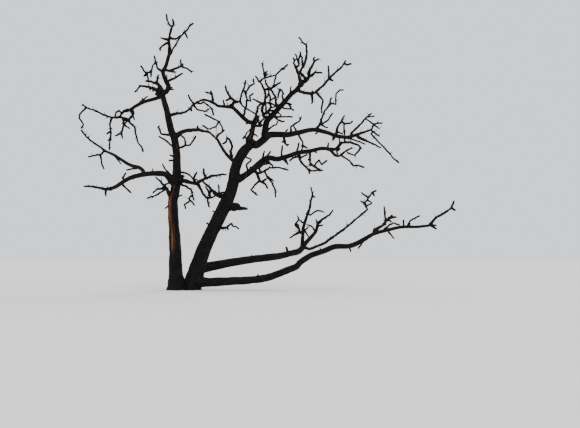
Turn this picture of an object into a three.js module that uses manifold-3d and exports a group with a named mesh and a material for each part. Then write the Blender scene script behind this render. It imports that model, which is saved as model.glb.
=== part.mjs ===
// A dead, bare and charred tree that grows as a clump from one root: a leaning main trunk, an upright
// stem beside it and two low limbs, with their boughs and their masses of leafless twigs.
// Lengths are millimetres. X runs to the right, Y away from the viewer and Z up. The origin is the
// middle of the flat cut under the main trunk, at ground level.

import * as THREE from "three";
import Module from "manifold-3d";

const wasm = await Module();
wasm.setup();

// Driving dimensions
const gridStep = 25; // guide points are counted in steps of this grid, across and up
const viewpoint = new THREE.Vector3(2500, -20140, 1000); // guide points line up as seen from here
const seatGap = 0.3; // between a limb or mass and what carries it
const clearance = 4; // least room between a twig and anything that doesn't carry it
const searchStep = 0.1; // of a leg, in finding the place nearest to a guide point
const rootShare = 0.6; // of the first leg, which may come close to limbs at its fork
const curveSteps = 8; // of a limb's curve, to each guide point
const leastSpread = 1e-6; // below this two legs count as parallel
const sliverWidth = 0.05;
const forkShare = 0.7; // furthest place of a fork on the last leg of a twig
const stemSides = 12;
const boughSides = 7;
const massStemSides = 4;
const twigSides = 3;
const ringSpacing = 190; // along a stem or bough
const shootWidthShare = 0.85; // of the width of the twig that it grows from, at the fork
const thinnestWidth = 42; // of a stem's or shoot's blunt tip
const twigSpacing = 210; // between seeded twigs
const twigLength = [70, 190];
const twigWidth = 28; // at the root, and a seeded twig ends in a point
const twigAngle = [35, 75]; // degrees off the wood that carries it
const upwardBias = 0.2; // in the seeded twigs' headings
const massReach = 130; // that seeded twigs may go beyond their mass's stem and shoots
const depthLeans = [0.5, -0.5, 0.8, -0.8, 0.25, -0.25, 1.1, -1.1]; // depth per length, tried in turn
const barkColour = 0x2a2422;
const twigColour = 0x352c28;
const barkRoughness = 0.95;
const flare = { spread: 0.4, height: 260, lobes: 4, lobeDepth: 0.16 }; // of a rooted stem's foot

// Stems and boughs. A guide is a list of pairs, across and up in grid steps. A rooted stem starts on the
// ground at rootDepth. Any other limb springs from the nearest place on what carries it. Widths are at
// the root and the tip, depth is the tip's distance behind the trunk's foot, and a taper under 1 thins
// the limb sooner.
const limbs = {
  main_trunk: {
    rooted: true, rootDepth: 0, depth: 200, width: [375, 230], taper: 1.3, sides: stemSides,
    guide: [0, 0, 6, 18, 13.6, 40, 22.8, 60, 32.6, 80, 41.2, 100, 44.1, 112, 45.2, 121, 48.5, 130,
      55, 140, 62, 146.5],
  },
  left_stem: {
    rooted: true, rootDepth: -60, depth: -350, width: [335, 128], sides: 10,
    guide: [-13, 0, -14.3, 25, -15.2, 50, -17, 90, -14.8, 100, -13.1, 120, -13.6, 140, -15.4, 150,
      -18.8, 160, -21.3, 170, -23.3, 180, -26.3, 190, -28, 197],
  },
  low_limb_far: {
    on: "main_trunk", depth: 1300, width: [240, 150],
    guide: [10, 22, 40, 27, 65, 31, 82, 32.9, 90, 33.9, 100, 36.4, 109, 38.8, 113, 43],
  },
  low_limb_near: {
    on: "main_trunk", depth: -1300, width: [240, 108], taper: 0.8,
    guide: [12, 8, 45, 9, 75, 12, 98, 20, 107, 24, 110, 27.5, 120, 34, 135, 39.5, 145, 43.4, 158, 43.9,
      165, 45.8, 178, 53],
  },
  near_outer_bough: {
    on: "low_limb_near", depth: -1750, width: [94, 60],
    guide: [184, 56.2, 198, 60.1, 212, 63, 228, 63.2, 240, 64.5],
  },
  far_upright_bough: {
    on: "low_limb_far", depth: 1150, width: [105, 75],
    guide: [112.5, 50, 113, 56, 113, 60.5, 114.5, 66, 116, 71, 117.3, 75.5],
  },
  far_right_bough: {
    on: "low_limb_far", depth: 1650, width: [125, 80],
    guide: [115, 46, 119, 50.5, 123, 55, 126, 59, 128, 67],
  },
  long_right_bough: {
    on: "main_trunk", depth: 1350, width: [215, 95], taper: 0.5,
    guide: [66, 145, 73, 149.8, 79, 154.8, 91, 155.5, 98, 155.3, 110, 157.8, 123, 160.2, 136, 157.8,
      146, 154.2, 158, 152.3],
  },
  left_fork_bough: {
    on: "main_trunk", depth: 60, width: [150, 120],
    guide: [59.5, 150, 61.5, 156, 62.8, 162, 63.2, 167],
  },
  crossing_bough: {
    on: "left_fork_bough", depth: 600, width: [112, 52],
    guide: [58.2, 168.4, 53, 172.6, 45, 180.4, 42.5, 182.4, 35, 183.4, 28, 184.2, 25, 186.2, 19, 189,
      13, 190.2, 8, 188.2],
  },
  central_bough: {
    on: "long_right_bough", depth: -350, width: [210, 106], taper: 0.5,
    guide: [74.6, 155, 75, 160, 75.8, 165, 77.2, 169.5, 81.5, 174, 88, 181, 98, 192, 102, 196.5,
      106, 199.5, 110, 204.5],
  },
  lower_right_bough: {
    on: "main_trunk", depth: -1150, width: [185, 84], taper: 0.75,
    guide: [49, 111.5, 55, 114.5, 61.4, 119.2, 68.6, 125.8, 74, 130.2, 78, 132, 82, 131.8, 87, 130.9,
      97, 133.5, 108, 137.2, 120, 138.8, 130, 141.3, 135, 141.5, 140, 140.3],
  },
  upper_left_bough: {
    on: "left_stem", depth: 450, width: [95, 80],
    guide: [-30, 192.7, -37, 190.7, -46, 188, -55, 183.5, -59, 180.7, -62, 179.8],
  },
  leader_bough: {
    on: "left_stem", depth: -200, width: [135, 86],
    guide: [-23.6, 198.6, -21.4, 204, -23.5, 208, -25.6, 213, -27, 218, -24.2, 224, -21.6, 233,
      -20.3, 237.5],
  },
  low_left_bough: {
    on: "left_stem", depth: -1350, width: [150, 85],
    guide: [-18.5, 108.5, -21.5, 112.5, -25.5, 115.8, -35, 116.6, -41, 116.3, -46, 115.6, -59, 112.3,
      -69, 106.7, -74, 103.4, -79, 101.2],
  },
  low_left_fork_bough: {
    on: "low_left_bough", depth: 150, width: [100, 62],
    guide: [-47, 119, -51, 122.5, -57, 124, -62, 126, -69, 130.5, -77, 135.5, -85, 139],
  },
};

// Masses of bare twigs. Each has one stem, in the same grid steps, and shoots that spring from the stem
// or from an earlier shoot. The width is the stem's, at its root.
const masses = {
  leader_top_twigs: {
    on: "leader_bough", width: 74,
    stem: [-20.6, 243, -21.4, 248, -20.2, 256, -18.6, 261.5, -16.2, 265.8, -17.6, 271],
    shoots: [[-20, 264.5, -23.2, 271, -23.5, 275.8],
      [-16, 251, -12, 252, -9, 254.3, -4.9, 258.2, -1.9, 260.7, 0, 264.5, 3.5, 267],
      [-4.6, 256.5, -3.6, 254.3, -2.4, 251.3], [-24.5, 250.8, -29.5, 252.3],
      [-24, 246.6, -28.1, 243.8, -30.2, 241.3, -29.6, 239.2]],
  },
  leader_right_twigs: {
    on: "leader_bough", width: 62, stem: [-19, 218.8, -15, 221.3, -9, 223.6, -2.5, 221.2, 1.9, 217.5],
    shoots: [[-9, 226, -9.5, 230.5]],
  },
  leader_left_twigs: {
    on: "leader_bough", width: 60, stem: [-28.5, 218.8, -32.5, 221.6, -33.8, 226, -32.8, 228.3], shoots: [],
  },
  leader_low_twigs: {
    on: "leader_bough", width: 60, stem: [-18, 210.7, -14, 212.5, -7.2, 216.8], shoots: [],
  },
  fork_left_twigs: {
    on: "left_stem", width: 112, stem: [-29.5, 202, -32, 205.8, -39, 208.5, -44.5, 208.8],
    shoots: [[-41.8, 212, -43.3, 215.5, -46, 219, -49.5, 224.5],
      [-42, 217.5, -38.7, 218.7, -36.9, 225, -34.4, 227.5, -35.6, 234.4],
      [-32.8, 209.5, -32.4, 212.5, -31.3, 215.6],
      [-33, 199.5, -36, 201.7, -41.5, 203, -46.5, 203.7, -51, 204.5], [-53.2, 200, -55.2, 198]],
  },
  upper_left_twigs: {
    on: "upper_left_bough", width: 72, stem: [-66.5, 178.5, -69, 175.5, -70.5, 173.2],
    shoots: [[-71, 179.5, -73.5, 178, -74.7, 173]],
  },
  upper_left_long_twigs: {
    on: "upper_left_bough", width: 72,
    stem: [-57, 178, -57.7, 174, -61.5, 170.3, -69, 172.8, -78, 172.3, -86, 175, -96, 180, -103.5, 182.2,
      -107.7, 186],
    shoots: [[-110.5, 175.5, -110.5, 171.5, -106.5, 165.7, -109.2, 161.5],
      [-80.2, 166, -79, 157, -80.5, 145.5, -80.5, 140], [-66.5, 169, -66.5, 165, -68.7, 156.5, -75, 154],
      [-60, 167, -55.3, 163, -54.8, 159, -52, 147.5, -47.2, 141, -47.2, 138]],
  },
  stem_upper_left_twigs: {
    on: "left_stem", width: 55, stem: [-22, 155, -29, 156.2, -30.2, 160, -32, 162.7, -30.5, 164],
    shoots: [],
  },
  stem_low_left_twigs: {
    on: "left_stem", width: 95, stem: [-20.5, 95.5, -22.8, 101, -26.2, 104.6, -29.2, 108, -34.5, 113],
    shoots: [[-26.1, 101.7, -33.3, 100.6, -37.2, 96.7], [-25, 100, -28.9, 97.8, -35.6, 93.9, -43.3, 91.7]],
  },
  stem_high_right_twigs: {
    on: "left_stem", width: 70, stem: [-14, 176.4, -9, 176.5, -4, 178.2, 0.5, 182, 2.5, 184.5, 8, 188.7],
    shoots: [[0, 191, -1.7, 195.2], [7, 180.5, 14.5, 178.5, 19.5, 181.2], [1, 181.5, 1.6, 178.6],
      [11, 186.2, 14, 187.7, 19.5, 183.5, 22, 180.5, 23.8, 174.5]],
  },
  stem_arched_twigs: {
    on: "left_stem", width: 110,
    stem: [-11.5, 155.5, -8.5, 158, -1.5, 159.8, 5, 160, 10, 159.8, 18, 158.2, 23, 154.4, 26.5, 150.5],
    shoots: [[7.5, 164]],
  },
  stem_mid_right_twigs: {
    on: "left_stem", width: 56, stem: [-8, 142.7, -4.5, 144.7, 0, 145, 4, 150.5, 5.7, 154],
    shoots: [[-5.5, 151.5, -9.5, 155]],
  },
  stem_low_right_twigs: {
    on: "left_stem", width: 108,
    stem: [-8, 110, 2, 107, 6, 106.5, 11.5, 109.7, 18.5, 112.7, 22, 114.2, 30, 115.3, 36.4, 115.6],
    shoots: [[15.3, 113.5, 13.6, 118, 13.4, 121.6],
      [9.5, 103, 13, 96, 17, 92.2, 18.3, 86, 19.5, 82.7], [4.5, 109.5, 3.3, 111.5, 5, 114.8, 7, 117.5]],
  },
  low_left_tip_twigs: {
    on: "low_left_bough", width: 70, stem: [-85, 101, -96, 103.2, -106, 103.7], shoots: [[-84, 94]],
  },
  low_left_fork_twigs: {
    on: "low_left_fork_bough", width: 56, stem: [-92, 144.5, -99, 149, -104, 153.5, -109, 160],
    shoots: [[-89, 135.5, -95, 134.5, -102, 133], [-88, 125, -86, 121]],
  },
  trunk_stub_twigs: {
    on: "main_trunk", width: 200, stem: [43, 82.4, 50, 81.7, 57.7, 80.9], shoots: [[45, 85.4, 50, 84.6]],
  },
  trunk_low_twigs: {
    on: "main_trunk", width: 98, stem: [31, 62, 37, 62.5, 38.5, 60.5],
    shoots: [[41, 66.5, 42.5, 64, 46, 63.5, 49, 61]],
  },
  trunk_left_twigs: {
    on: "main_trunk", width: 124, stem: [26, 96, 22, 99.5, 18, 104, 12, 109],
    shoots: [[19, 97.5, 15.5, 103.5], [20.5, 91.8, 17, 92.2]],
  },
  trunk_arched_twigs: {
    on: "main_trunk", width: 90,
    stem: [42, 130, 38, 134, 34, 139, 30, 145.5, 26.5, 151.5, 28.5, 155.5, 34.5, 160.2],
    shoots: [[32.3, 162.5, 29.5, 168, 20.5, 172.7, 14.5, 175.7],
      [28, 167, 25.6, 163.1, 18.3, 160.8, 12.3, 164.5],
      [41.5, 132.5, 40.6, 138.7, 42.3, 143.7, 40, 149.4, 36.9, 152.3, 36.3, 148.1, 32.3, 146]],
  },
  left_fork_twigs: {
    on: "left_fork_bough", width: 70, stem: [65.3, 172, 67.5, 180, 67.2, 183, 71, 185.7], shoots: [],
  },
  crossing_tip_twigs: {
    on: "crossing_bough", width: 60, stem: [23, 190.5, 21.6, 196, 15, 198.1],
    shoots: [[21.3, 197.5, 20.6, 199.5]],
  },
  crossing_upper_twigs: {
    on: "crossing_bough", width: 72, stem: [44.3, 188, 43.8, 190, 40.5, 192, 36, 200, 35.5, 204.7],
    shoots: [[50, 188.5, 51.5, 196, 54.8, 204, 55.6, 210], [53, 183.5, 60, 179.3, 66.5, 175.5, 69.3, 169],
      [35.5, 189.3]],
  },
  crossing_mid_twigs: {
    on: "crossing_bough", width: 56,
    stem: [53.8, 175, 55.5, 181.5, 57, 191, 55.5, 197.5, 60, 204, 64.3, 206, 63.3, 211.7],
    shoots: [[61, 189, 59.7, 194, 63.5, 196.7]],
  },
  central_top_twigs: {
    on: "central_bough", width: 104,
    stem: [113, 208, 116.5, 209.8, 119, 213, 118.7, 216.5, 120, 220.5, 124.3, 228.5, 129, 231.2],
    shoots: [[111, 208, 109, 213.5, 106.5, 221, 103.5, 227, 104.8, 229.5, 103, 232.3],
      [109, 224.7, 108, 229.5, 105.5, 235.7],
      [114.5, 212.5, 109.8, 218, 113.2, 223.5, 115, 227, 117, 236, 116.3, 245, 113, 247.3, 108.8, 252.7],
      [122, 214.5, 125.5, 218, 132.5, 217], [123.3, 231, 125, 233]],
  },
  central_right_twigs: {
    on: "central_bough", width: 76,
    stem: [110, 198.5, 116, 197, 122, 196.2, 125, 197.5, 134, 205, 139, 211, 147, 219, 151, 222,
      155.7, 229.7],
    shoots: [[139, 212.5, 138.2, 224], [129, 194.2, 133, 189.5, 131.5, 182, 131.5, 177],
      [122.3, 190.5, 121.8, 186], [157, 225, 161.5, 226.5]],
  },
  central_left_twigs: {
    on: "central_bough", width: 76,
    stem: [73.8, 173.5, 72, 179, 72.5, 183.5, 75, 189, 75.5, 196, 72, 205.5, 69.5, 208.5, 65.3, 214],
    shoots: [[74, 211.7, 86, 215, 92, 220.7, 98, 225.5], [74, 216.5, 72.5, 224, 72.5, 227.2],
      [76.3, 177, 75.8, 181, 75.8, 186.5]],
  },
  central_mid_twigs: {
    on: "central_bough", width: 66,
    stem: [86, 186, 85.5, 193, 81.5, 199.5, 78.5, 203, 75.8, 206, 75.3, 210.5],
    shoots: [[84, 204, 85, 210.5, 86, 214]],
  },
  right_tip_twigs: {
    on: "long_right_bough", width: 84, stem: [165, 154.7, 175, 158, 181, 160, 186, 156, 189.5, 153.5],
    shoots: [[184, 165.5, 186.5, 166.5, 192.5, 166.7], [161, 156.5, 167.5, 162.5, 175, 171, 181.5, 176.5],
      [178, 173, 184.5, 173.8], [181, 156.2, 188, 148.5, 196, 140.5, 204, 131, 209, 127.2],
      [168, 152.5, 180, 147.5, 191, 142.2]],
  },
  right_upper_twigs: {
    on: "long_right_bough", width: 70,
    stem: [146.8, 158.5, 147.5, 162.5, 149.5, 166, 151.7, 168.3, 155, 166.5, 160, 166.6, 162.7, 168.8],
    shoots: [[154, 165, 154.4, 158.5], [152.5, 171, 154.8, 174.5]],
  },
  right_mid_twigs: {
    on: "long_right_bough", width: 64,
    stem: [127, 162, 131, 166.5, 131, 170.5, 135, 179.5, 140, 185, 140, 189.5, 141.6, 192.4],
    shoots: [[143, 186.3, 145.8, 185.5, 145.9, 196, 149.7, 200, 153.5, 200],
      [131.8, 166, 137, 169, 139.4, 172, 142.7, 176.7]],
  },
  right_inner_twigs: {
    on: "long_right_bough", width: 52, stem: [101, 159, 101, 163.5, 109.5, 169, 111.5, 173.7], shoots: [],
  },
  right_under_twigs: {
    on: "long_right_bough", width: 52,
    stem: [109.5, 153, 112.5, 148.5, 112.5, 143, 111.5, 140.2], shoots: [],
  },
  lower_right_tip_twigs: {
    on: "lower_right_bough", width: 78,
    stem: [146, 141, 148, 143, 151.5, 147.5, 160, 147.7, 168, 145, 171.5, 141.2],
    shoots: [[169, 139.5, 164.5, 134.5, 157, 137.5],
      [141.5, 138.5, 146, 134.3, 149.5, 134, 155, 138.5, 162, 142.5],
      [152.5, 133.5, 159, 129.5, 163.5, 124, 168, 124.7, 174, 122.5]],
  },
  lower_right_hanging_twigs: {
    on: "lower_right_bough", width: 56, stem: [120, 134, 119.8, 127.5, 125, 122.5, 130.5, 120],
    shoots: [[125, 125, 129, 130, 131.8, 125.5, 137, 129.7]],
  },
  lower_right_mid_twigs: {
    on: "lower_right_bough", width: 60,
    stem: [109.5, 135, 109.6, 130.7, 112.5, 126.5, 120, 119.3, 133, 119.6],
    shoots: [[108, 133.5, 103, 132, 99.5, 129]],
  },
  lower_right_drop_twigs: {
    on: "lower_right_bough", width: 72, stem: [67, 116.5, 69.5, 109, 75.5, 105.7, 77.5, 101.5],
    shoots: [[64.8, 105, 61, 100.3, 67.5, 94.5],
      [74.3, 118.6, 77.5, 112.7, 81.8, 107.7, 84, 102.9, 85.8, 97.5, 85.5, 92.5],
      [79, 122, 88, 122.5, 98.5, 120], [69, 122, 74, 125.7, 79.5, 126.3, 83, 124]],
  },
  far_top_twigs: {
    on: "far_upright_bough", width: 68, stem: [120, 83, 120.5, 88, 122.7, 95, 121, 102.7], shoots: [],
  },
  far_knot_twigs: {
    on: "far_upright_bough", width: 74, stem: [109, 57.5, 104, 55, 100, 51.8],
    shoots: [[109.5, 60, 105, 65.5, 109, 70.5, 107.5, 73.5]],
  },
  far_right_twigs: { on: "far_right_bough", width: 70, stem: [134, 71.7, 139.5, 75, 143, 80], shoots: [] },
  back_twigs: {
    on: "low_limb_far", width: 80, depth: 2500,
    stem: [120, 41, 135, 47, 157, 63, 165, 70, 177.5, 80.5, 174.5, 86.5, 178.5, 92, 182.5, 97.7, 186.5,
      99.5],
    shoots: [[171.3, 97.5], [182, 86.7]],
  },
  near_tip_twigs: {
    on: "near_outer_bough", width: 60, stem: [243, 69, 247, 73, 255, 77.5, 261.5, 82, 264, 89],
    shoots: [[265.5, 79.5]],
  },
  near_side_twigs: {
    on: "near_outer_bough", width: 82, stem: [184.5, 60, 192.5, 64.3, 197, 70, 202, 75.2],
    shoots: [[206.5, 72.7], [195, 65.5, 195.7, 69.5, 194.7, 76, 194.3, 83.6]],
  },
  stem_hanging_twigs: {
    on: "left_stem", width: 62, stem: [-9.4, 105.6, -3.3, 103.3, 1.3, 99.8, 2.2, 95.6, 3.3, 92.2, 4, 89.8],
    shoots: [[0, 93.3, -0.6, 90.6, 1.7, 88.3, 4.4, 84.5], [-1.7, 87.8, -5.6, 85.6, -4.4, 81]],
  },
};

// Random numbers from 0 to 1 that are the same on every run
function seededRandom(seed) {
  const multiplier = 16807;
  const modulus = 2147483647;
  let state = seed * multiplier + 1;
  return () => {
    state = (state * multiplier) % modulus;
    return state / modulus;
  };
}

function between([low, high], share) {
  return low + (high - low) * share;
}

// A guide point, pushed along the line of sight from the plane of the trunk's foot to its own depth
function guidePoint(across, up, depth) {
  const flat = new THREE.Vector3(across * gridStep, 0, up * gridStep);
  return viewpoint.clone().lerp(flat, (depth - viewpoint.y) / -viewpoint.y);
}

// The place on the centre lines of some wood that looks nearest to a guide point, up to a share of the
// last leg, and the wood's width there
function nearestCentre(wood, across, up, lastShare = 1) {
  let best = null;
  for (const { run, radii } of wood) {
    for (let i = 1; i < run.length; i += 1) {
      const furthest = i === run.length - 1 ? lastShare : 1;
      for (let share = 0; share <= furthest; share += searchStep) {
        const place = run[i - 1].clone().lerp(run[i], share);
        const distance = place.distanceTo(guidePoint(across, up, place.y));
        const width = 2 * between([radii[i - 1], radii[i]], share);
        if (!best || distance < best.distance) best = { place, distance, width };
      }
    }
  }
  return best;
}

// A root followed by guide points, whose depth runs evenly from the root's to the tip's
function guideRun(root, guide, tipDepth) {
  const count = guide.length / 2;
  const run = [root];
  for (let i = 0; i < count; i += 1) {
    const depth = THREE.MathUtils.lerp(root.y, tipDepth, (i + 1) / count);
    run.push(guidePoint(guide[2 * i], guide[2 * i + 1], depth));
  }
  return run;
}

function runLength(run) {
  return run.slice(1).reduce((sum, point, i) => sum + point.distanceTo(run[i]), 0);
}

// Half widths along a run
function taperedRadii(run, [rootWidth, tipWidth], taper = 1) {
  const total = runLength(run);
  let travelled = 0;
  return run.map((point, i) => {
    travelled += i ? point.distanceTo(run[i - 1]) : 0;
    return between([rootWidth, tipWidth], (travelled / total) ** taper) / 2;
  });
}

function directions(run) {
  return run.map((point, i) => {
    const before = run[Math.max(i - 1, 0)];
    const after = run[Math.min(i + 1, run.length - 1)];
    return after.clone().sub(before).normalize();
  });
}

// How far a rooted stem swells towards the ground, in lobes that run out into its roots
function flareFactor(height, angle) {
  const rise = Math.exp(-height / flare.height);
  return 1 + rise * (flare.spread + flare.lobeDepth * Math.cos(flare.lobes * angle));
}

// A closed tapering tube of rings. It ends in a flat face, or in a point.
function tube(run, radii, sides, { pointed = false, rooted = false } = {}) {
  const along = directions(run);
  if (rooted) along[0].set(0, 0, 1);
  const vertices = [];
  const faces = [];
  const startsAcross = Math.abs(along[0].x) < Math.abs(along[0].y);
  const normal = startsAcross ? new THREE.Vector3(1, 0, 0) : new THREE.Vector3(0, 1, 0);
  const ringCount = pointed ? run.length - 1 : run.length;
  for (let i = 0; i < ringCount; i += 1) {
    normal.addScaledVector(along[i], -normal.dot(along[i])).normalize();
    const binormal = along[i].clone().cross(normal);
    for (let side = 0; side < sides; side += 1) {
      const angle = (2 * Math.PI * side) / sides;
      const radius = radii[i] * (rooted ? flareFactor(run[i].z, angle) : 1);
      const point = run[i].clone();
      point.addScaledVector(normal, radius * Math.cos(angle));
      point.addScaledVector(binormal, radius * Math.sin(angle));
      vertices.push(point.x, point.y, point.z);
    }
  }
  for (let i = 1; i < ringCount; i += 1) {
    for (let side = 0; side < sides; side += 1) {
      const next = (side + 1) % sides;
      const low = (i - 1) * sides;
      faces.push(low + side, low + next, low + sides + next);
      faces.push(low + side, low + sides + next, low + sides + side);
    }
  }
  const last = (ringCount - 1) * sides;
  for (let side = 1; side < sides - 1; side += 1) {
    faces.push(0, side + 1, side);
    if (!pointed) faces.push(last, last + side, last + side + 1);
  }
  if (pointed) {
    const tip = run[run.length - 1];
    vertices.push(tip.x, tip.y, tip.z);
    for (let side = 0; side < sides; side += 1) {
      faces.push(last + side, last + ((side + 1) % sides), last + sides);
    }
  }
  return new wasm.Manifold(new wasm.Mesh({
    numProp: 3,
    vertProperties: new Float32Array(vertices),
    triVerts: new Uint32Array(faces),
  }));
}

// The same tube with the seat's gap all round and past both ends, to cut what it carries
function seatTube(run, radii, sides, options) {
  const along = directions(run);
  const longer = run.slice();
  const tip = run.length - 1;
  longer[0] = run[0].clone().addScaledVector(along[0], -seatGap);
  longer[tip] = run[tip].clone().addScaledVector(along[tip], seatGap);
  const sectionGap = seatGap / Math.cos(Math.PI / sides);
  return tube(longer, radii.map((radius) => radius + sectionGap), sides, options);
}

// The largest body of a solid, without the slivers that cuts leave
function largestPiece(solid) {
  const pieces = solid.simplify(sliverWidth).decompose();
  return pieces.reduce((best, piece) => (piece.volume() > best.volume() ? piece : best));
}

function boxesMeet(one, other) {
  const first = one.boundingBox();
  const second = other.boundingBox();
  return [0, 1, 2].every((axis) => first.min[axis] < second.max[axis]
    && second.min[axis] < first.max[axis]);
}

// A run as straight legs with a half width at each end, and a box that holds them and their clearance
function legsOf(run, radii) {
  const legs = run.slice(1).map((to, i) => ({ from: run[i], to, radii: [radii[i], radii[i + 1]] }));
  const box = new THREE.Box3().setFromPoints(run).expandByScalar(Math.max(...radii) + clearance);
  return { legs, box };
}

// The room between two legs where their centre lines are nearest
function room(one, other) {
  const way = one.to.clone().sub(one.from);
  const otherWay = other.to.clone().sub(other.from);
  const offset = one.from.clone().sub(other.from);
  const [a, b, c] = [way.dot(way), way.dot(otherWay), way.dot(offset)];
  const [e, f] = [otherWay.dot(otherWay), otherWay.dot(offset)];
  const spread = a * e - b * b;
  const guess = spread > leastSpread * a * e ? THREE.MathUtils.clamp((b * f - c * e) / spread, 0, 1) : 0;
  const otherShare = THREE.MathUtils.clamp((b * guess + f) / e, 0, 1);
  const share = THREE.MathUtils.clamp((b * otherShare - c) / a, 0, 1);
  const gap = offset.addScaledVector(way, share).addScaledVector(otherWay, -otherShare).length();
  return gap - between(one.radii, share) - between(other.radii, otherShare);
}

function isClear(candidate, placed) {
  return placed.every((other) => !candidate.box.intersectsBox(other.box)
    || candidate.legs.every((leg) => other.legs.every((otherLeg) => room(leg, otherLeg) >= clearance)));
}

// Evenly spaced points along a run of close points
function spaced(fine, count) {
  const step = runLength(fine) / count;
  const points = [fine[0]];
  let travelled = 0;
  for (let i = 1; i < fine.length; i += 1) {
    const leg = fine[i].distanceTo(fine[i - 1]);
    while (points.length < count && points.length * step <= travelled + leg) {
      const share = (points.length * step - travelled) / leg;
      points.push(fine[i - 1].clone().lerp(fine[i], share));
    }
    travelled += leg;
  }
  return [...points, fine[fine.length - 1]];
}

// A stem or bough, cut clear of every limb that is there before it
function growLimb(name, spec, grown) {
  const { guide, width, depth, taper, rooted, rootDepth, sides = boughSides } = spec;
  const root = rooted
    ? guidePoint(guide[0], guide[1], rootDepth)
    : nearestCentre([grown[spec.on]], guide[0], guide[1]).place;
  const guided = guideRun(root, rooted ? guide.slice(2) : guide, depth);
  const curve = new THREE.CatmullRomCurve3(guided, false, "centripetal");
  const fine = curve.getPoints((guided.length - 1) * curveSteps);
  const run = spaced(fine, Math.max(3, Math.round(runLength(fine) / ringSpacing)));
  const radii = taperedRadii(run, width, taper);
  const reach = radii.map((radius, i) => radius * (rooted ? flareFactor(run[i].z, 0) : 1));
  let solid = tube(run, radii, sides, { rooted });
  for (const other of Object.values(grown)) {
    if (boxesMeet(solid, other.seat)) solid = solid.subtract(other.seat);
  }
  const seat = seatTube(run, radii, sides, { rooted });
  return { name, run, radii, solid: largestPiece(solid), seat, ...legsOf(run, reach) };
}

// Twigs at seeded places and angles along a run
function seededTwigs(run, random) {
  const along = directions(run);
  const count = Math.floor(runLength(run) / twigSpacing);
  const legs = run.length - 2 + forkShare;
  const twigs = [];
  for (let i = 0; i < count; i += 1) {
    const place = ((i + random()) / count) * legs;
    const index = Math.floor(place);
    const root = run[index].clone().lerp(run[index + 1], place - index);
    const roll = new THREE.Vector3(random() - 0.5, random() - 0.5, random() - 0.5 + upwardBias);
    const heading = along[index].clone();
    const sideways = roll.addScaledVector(heading, -roll.dot(heading)).normalize();
    const angle = THREE.MathUtils.degToRad(between(twigAngle, random()));
    heading.multiplyScalar(Math.cos(angle)).addScaledVector(sideways, Math.sin(angle));
    twigs.push([root, root.clone().addScaledVector(heading, between(twigLength, random()))]);
  }
  return twigs;
}

// A mass: a stem on its carrier, shoots on the stem, and seeded twigs on both, fused into one body.
// Each shoot leans away to the first depth that is clear, and what finds no room is left out.
function growMass(name, spec, seed, limbList, placedTwigs) {
  const random = seededRandom(seed + 1);
  const carrier = limbList.find((limb) => limb.name === spec.on);
  const others = limbList.filter((limb) => limb !== carrier);
  let turn = random() < 0.5 ? 1 : -1;

  function firstClear(fork, guide, width, limbChoices, tipDepth) {
    const root = fork.place;
    const flat = guideRun(root, guide, root.y);
    turn = -turn;
    const depths = tipDepth === undefined
      ? depthLeans.map((lean) => root.y + turn * lean * runLength(flat))
      : [tipDepth];
    for (const limbsToAvoid of limbChoices) {
      for (const depth of depths) {
        const run = guideRun(root, guide, depth);
        const radii = taperedRadii(run, [width, thinnestWidth]);
        const outerRun = [run[0].clone().lerp(run[1], rootShare), ...run.slice(1)];
        if (isClear(legsOf(outerRun, radii), [...limbsToAvoid, ...placedTwigs])) return { run, radii };
      }
    }
    return null;
  }

  const seat = nearestCentre([carrier], spec.stem[0], spec.stem[1]);
  const stem = firstClear(seat, spec.stem, spec.width, [others], spec.depth);
  if (!stem) throw new Error(`${name} has no room`);
  const wood = [stem];
  for (const guide of spec.shoots) {
    const fork = nearestCentre(wood, guide[0], guide[1], forkShare);
    const width = Math.max(fork.width * shootWidthShare, thinnestWidth);
    const shoot = firstClear(fork, guide, width, [limbList, others]);
    if (shoot) wood.push(shoot);
  }

  const space = new THREE.Box3().setFromPoints(wood.flatMap((piece) => piece.run));
  space.expandByScalar(massReach);
  const twigs = [];
  for (const piece of wood) {
    for (const run of seededTwigs(piece.run, random)) {
      const twig = { run, radii: [twigWidth / 2, 0] };
      const isFree = isClear(legsOf(run, twig.radii), [...limbList, ...placedTwigs]);
      if (space.containsPoint(run[1]) && isFree) twigs.push(twig);
    }
  }
  const pieces = [...wood, ...twigs];
  placedTwigs.push(...pieces.map(({ run, radii }) => legsOf(run, radii)));
  const tubes = pieces.map(({ run, radii }, i) => (
    tube(run, radii, i ? twigSides : massStemSides, { pointed: i >= wood.length })
  ));
  let solid = tubes.reduce((sum, part) => sum.add(part));
  for (const limb of limbList) {
    if (boxesMeet(solid, limb.seat)) solid = solid.subtract(limb.seat);
  }
  return { name, solid: largestPiece(solid) };
}

function meshOf(name, solid, material) {
  const { vertProperties, triVerts } = solid.getMesh();
  const geometry = new THREE.BufferGeometry();
  geometry.setAttribute("position", new THREE.BufferAttribute(vertProperties, 3));
  geometry.setIndex(new THREE.BufferAttribute(triVerts, 1));
  geometry.computeVertexNormals();
  const mesh = new THREE.Mesh(geometry, material);
  mesh.name = name;
  return mesh;
}

const grownLimbs = {};
for (const [name, spec] of Object.entries(limbs)) grownLimbs[name] = growLimb(name, spec, grownLimbs);
const limbList = Object.values(grownLimbs);
const placedTwigs = [];
const massList = Object.entries(masses).map(([name, spec], seed) => (
  growMass(name, spec, seed, limbList, placedTwigs)
));

const tree = new THREE.Group();
for (const { name, solid } of limbList) {
  const charredBark = new THREE.MeshStandardMaterial({ color: barkColour, roughness: barkRoughness });
  tree.add(meshOf(name, solid, charredBark));
}
for (const { name, solid } of massList) {
  const charredTwigs = new THREE.MeshStandardMaterial({ color: twigColour, roughness: barkRoughness });
  tree.add(meshOf(name, solid, charredTwigs));
}

export default tree;
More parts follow.
